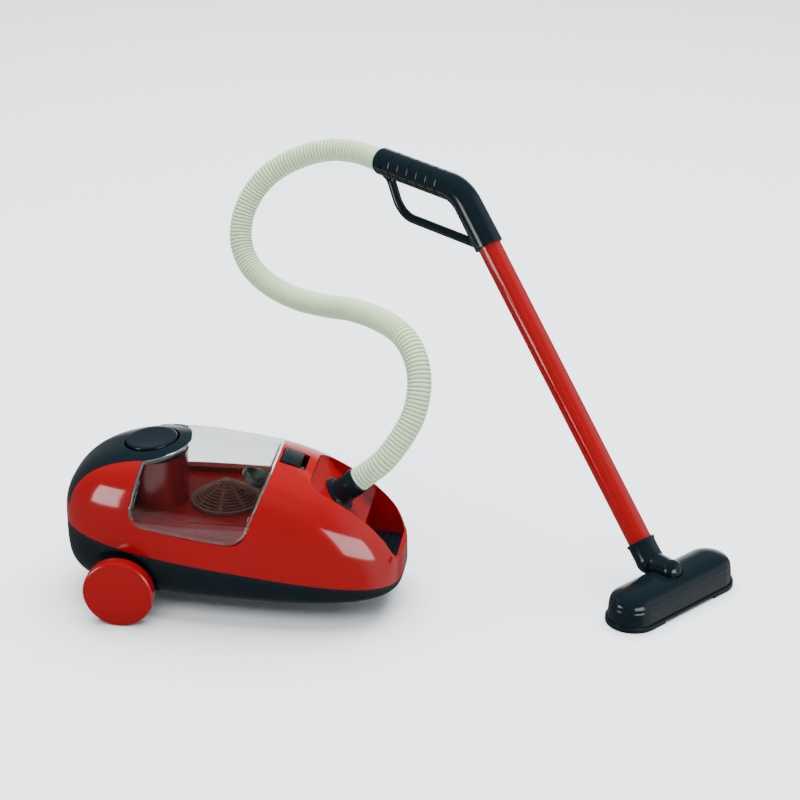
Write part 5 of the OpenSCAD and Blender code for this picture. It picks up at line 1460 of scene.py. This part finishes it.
class TOYVAC_OT_nozzle(ToyOperator):
    """Make the floor nozzle's hood and sole"""
    bl_idname = "toy_vacuum.nozzle"
    bl_label = "Floor nozzle"
    DOME_POWER = 2.4
    RIDGE_SHARE = 0.12
    ARC = 48

    def execute(self, context):
        scene = context.scene
        self.hood(scene)
        self.sole(scene)
        return {"FINISHED"}

    def ring_stations(self, s, inset):
        """Radius and height of the hood's rings from its foot to its ridge."""
        foot = s.sole_z + s.sole_t
        r0 = s.width / 2 - s.sole_edge - inset
        r1 = r0 - s.draft
        rings = [(r0 + (r1 - r0) * k / 6, foot + (s.crease_z - 0.5 * MM - foot) * k / 6) for k in range(7)]
        rings.append((r1 - 0.35 * MM, s.crease_z))
        steps = 26
        for k in range(1, steps + 1):
            c = 1 - (1 - self.RIDGE_SHARE) * (1 - math.cos(math.pi / 2 * k / steps))
            bow = rounded_end((c - self.RIDGE_SHARE) / (1 - self.RIDGE_SHARE), self.DOME_POWER)
            rings.append(((r1 - 0.35 * MM) * c, s.crease_z + (s.height - inset - s.crease_z) * bow))
        return rings

    def hood_skin(self, s, inset):
        rings = self.ring_stations(s, inset)
        spread_l = (s.reach - s.width) / 2
        bm = bmesh.new()

        def place(u, v):
            r, z = rings[round(u * (len(rings) - 1))]
            j = round(v * (2 * self.ARC + 2)) % (2 * self.ARC + 2)
            far = j > self.ARC
            a = math.pi * (j - 1 if far else j) / self.ARC
            return Vector((r * math.cos(a), r * math.sin(a) + (-spread_l if far else spread_l), z))

        sheet(bm, len(rings) - 1, 2 * self.ARC + 2, place)
        return tidy(bm)

    def hood(self, scene):
        s, wand = scene.toy_nozzle, scene.toy_wand

        def neck_form(grow):
            level = Matrix.Translation((0, 0, wand.knuckle_z))
            ball = bmesh.new()
            bmesh.ops.create_uvsphere(ball, u_segments=72, v_segments=48, radius=wand.knuckle_d / 2 + grow)
            turned = level @ Matrix.Rotation(-math.pi / 2, 4, "Y")
            arm = moved(cylinder(wand.arm_r + grow, 0, wand.arm_l, 72), turned)
            elbow = bmesh.new()
            bmesh.ops.create_uvsphere(elbow, u_segments=72, v_segments=48, radius=wand.elbow_r + grow)
            moved(elbow, level @ Matrix.Translation((-wand.arm_l, 0, 0)))
            return carved(moved(ball, level), ("UNION", arm), ("UNION", elbow))

        seat = carved(neck_form(s.seat_clear + s.wall), ("INTERSECT", self.hood_skin(s, s.wall / 2)))
        bm = carved(self.hood_skin(s, 0.0), ("DIFFERENCE", self.hollow(s)), ("UNION", seat),
                    ("DIFFERENCE", neck_form(s.seat_clear)))
        finished("dark_hood", bm, nozzle_frame(scene), MATERIALS["dark"], "nozzle", ["nozzle_hood"])

    def hollow(self, s):
        """The hood's inside, reaching below its foot."""
        inner = self.hood_skin(s, s.wall)
        foot = s.sole_z + s.sole_t
        for vert in inner.verts:
            if vert.co.z < foot + 1e-6:
                vert.co.z -= s.sole_t
        return inner

    def sole(self, scene):
        s = scene.toy_nozzle
        half, r = s.reach / 2, s.width / 2
        slot_l = s.reach - s.width - s.slot_margin
        plate = rounded([(-r, -half, r), (r, -half, r), (r, half, r), (-r, half, r)], 28)
        bm = soften(prism(plate, s.sole_z, s.sole_z + s.sole_t), 0.7 * MM)
        slot = box((-s.slot_w / 2, -slot_l / 2, -s.sole_t), (s.slot_w / 2, slot_l / 2, 2 * s.sole_z + s.sole_t))
        bm = carved(bm, ("DIFFERENCE", slot))
        meshes = [bm]
        for side in (-1, 1):
            corners = [(-r, s.foot_inner, 1 * MM), (r, s.foot_inner, 1 * MM), (r, half, r), (-r, half, r)]
            if side < 0:
                corners = [(x, -y, c) for x, y, c in reversed(corners)]
            foot = soften(prism(rounded(corners, 28), 0.0, s.sole_z + s.sole_t / 2), 0.8 * MM)
            hole = cylinder(s.screw_r, -s.sole_z, s.sole_z)
            meshes.append(carved(foot, ("DIFFERENCE", moved(hole, Matrix.Translation((0, side * s.screw_y, 0))))))
        finished("dark_sole", joined(*meshes), nozzle_frame(scene), MATERIALS["dark_satin"], "nozzle",
                 ["nozzle_sole"])


class TOYVAC_OT_inner_finish(ToyOperator):
    """Give the inner and small pieces their finishes"""
    bl_idname = "toy_vacuum.inner_finish"
    bl_label = "Inner pieces"
    FINISHES = {
        # Painted shade: the darker red stands in for the shade inside the chamber.
        "shaded_red": ["dust_tray", "impeller"],
        "filter": ["filter_cone"],
        "dark_satin": ["battery_box", "battery_door", "caster_fork"],
        "steel": ["button_spring", "latch_spring", "motor", "motor_shaft", "battery_contacts",
                  "battery_door_screw", "rear_axle", "caster_axle", "case_screws", "neck_pin", "nozzle_screws"],
        "grey": ["switch", "motor_mount", "caster_wheel"],
        "cell": ["batteries"],
    }

    def execute(self, context):
        for finish, nodes in self.FINISHES.items():
            for name in nodes:
                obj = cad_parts[name]
                for slot in obj.material_slots:
                    slot.material = MATERIALS[finish]
        return {"FINISHED"}


class TOYVAC_PT_pieces(Panel):
    """The toy vacuum cleaner's pieces"""
    bl_idname = "TOYVAC_PT_pieces"
    bl_label = "Toy vacuum"
    bl_space_type = "VIEW_3D"
    bl_region_type = "UI"
    bl_category = "Toy vacuum"

    def draw(self, context):
        for operator in OPERATORS:
            self.layout.operator(operator.bl_idname)


SETTINGS = {
    "toy_casing": CasingSizes, "toy_lid": LidSizes, "toy_bay": BaySizes,
    "toy_chamber": ChamberSizes, "toy_wheels": WheelSizes,
    "toy_hose": HoseSizes, "toy_wand": WandSizes, "toy_nozzle": NozzleSizes, "toy_finish": FinishColours}
OPERATORS = (
    TOYVAC_OT_stage, TOYVAC_OT_hose, TOYVAC_OT_casings, TOYVAC_OT_tail, TOYVAC_OT_lid, TOYVAC_OT_latch,
    TOYVAC_OT_wheels, TOYVAC_OT_cuff, TOYVAC_OT_chamber, TOYVAC_OT_wand, TOYVAC_OT_nozzle,
    TOYVAC_OT_inner_finish)
CLASSES = (*SETTINGS.values(), *OPERATORS, TOYVAC_PT_pieces)


def register():
    for cls in CLASSES:
        bpy.utils.register_class(cls)
    for name, group in SETTINGS.items():
        setattr(bpy.types.Scene, name, PointerProperty(type=group))


def unregister():
    for name in SETTINGS:
        delattr(bpy.types.Scene, name)
    for cls in reversed(CLASSES):
        bpy.utils.unregister_class(cls)


def main():
    register()
    MATERIALS.update(make_materials(bpy.context.scene.toy_finish))
    bpy.ops.toy_vacuum.stage()
    bpy.ops.toy_vacuum.hose()
    bpy.ops.toy_vacuum.casings()
    bpy.ops.toy_vacuum.tail()
    bpy.ops.toy_vacuum.lid()
    bpy.ops.toy_vacuum.latch()
    bpy.ops.toy_vacuum.wheels()
    bpy.ops.toy_vacuum.cuff()
    bpy.ops.toy_vacuum.chamber()
    bpy.ops.toy_vacuum.wand()
    bpy.ops.toy_vacuum.nozzle()
    bpy.ops.toy_vacuum.inner_finish()


if __name__ == "__main__":
    main()
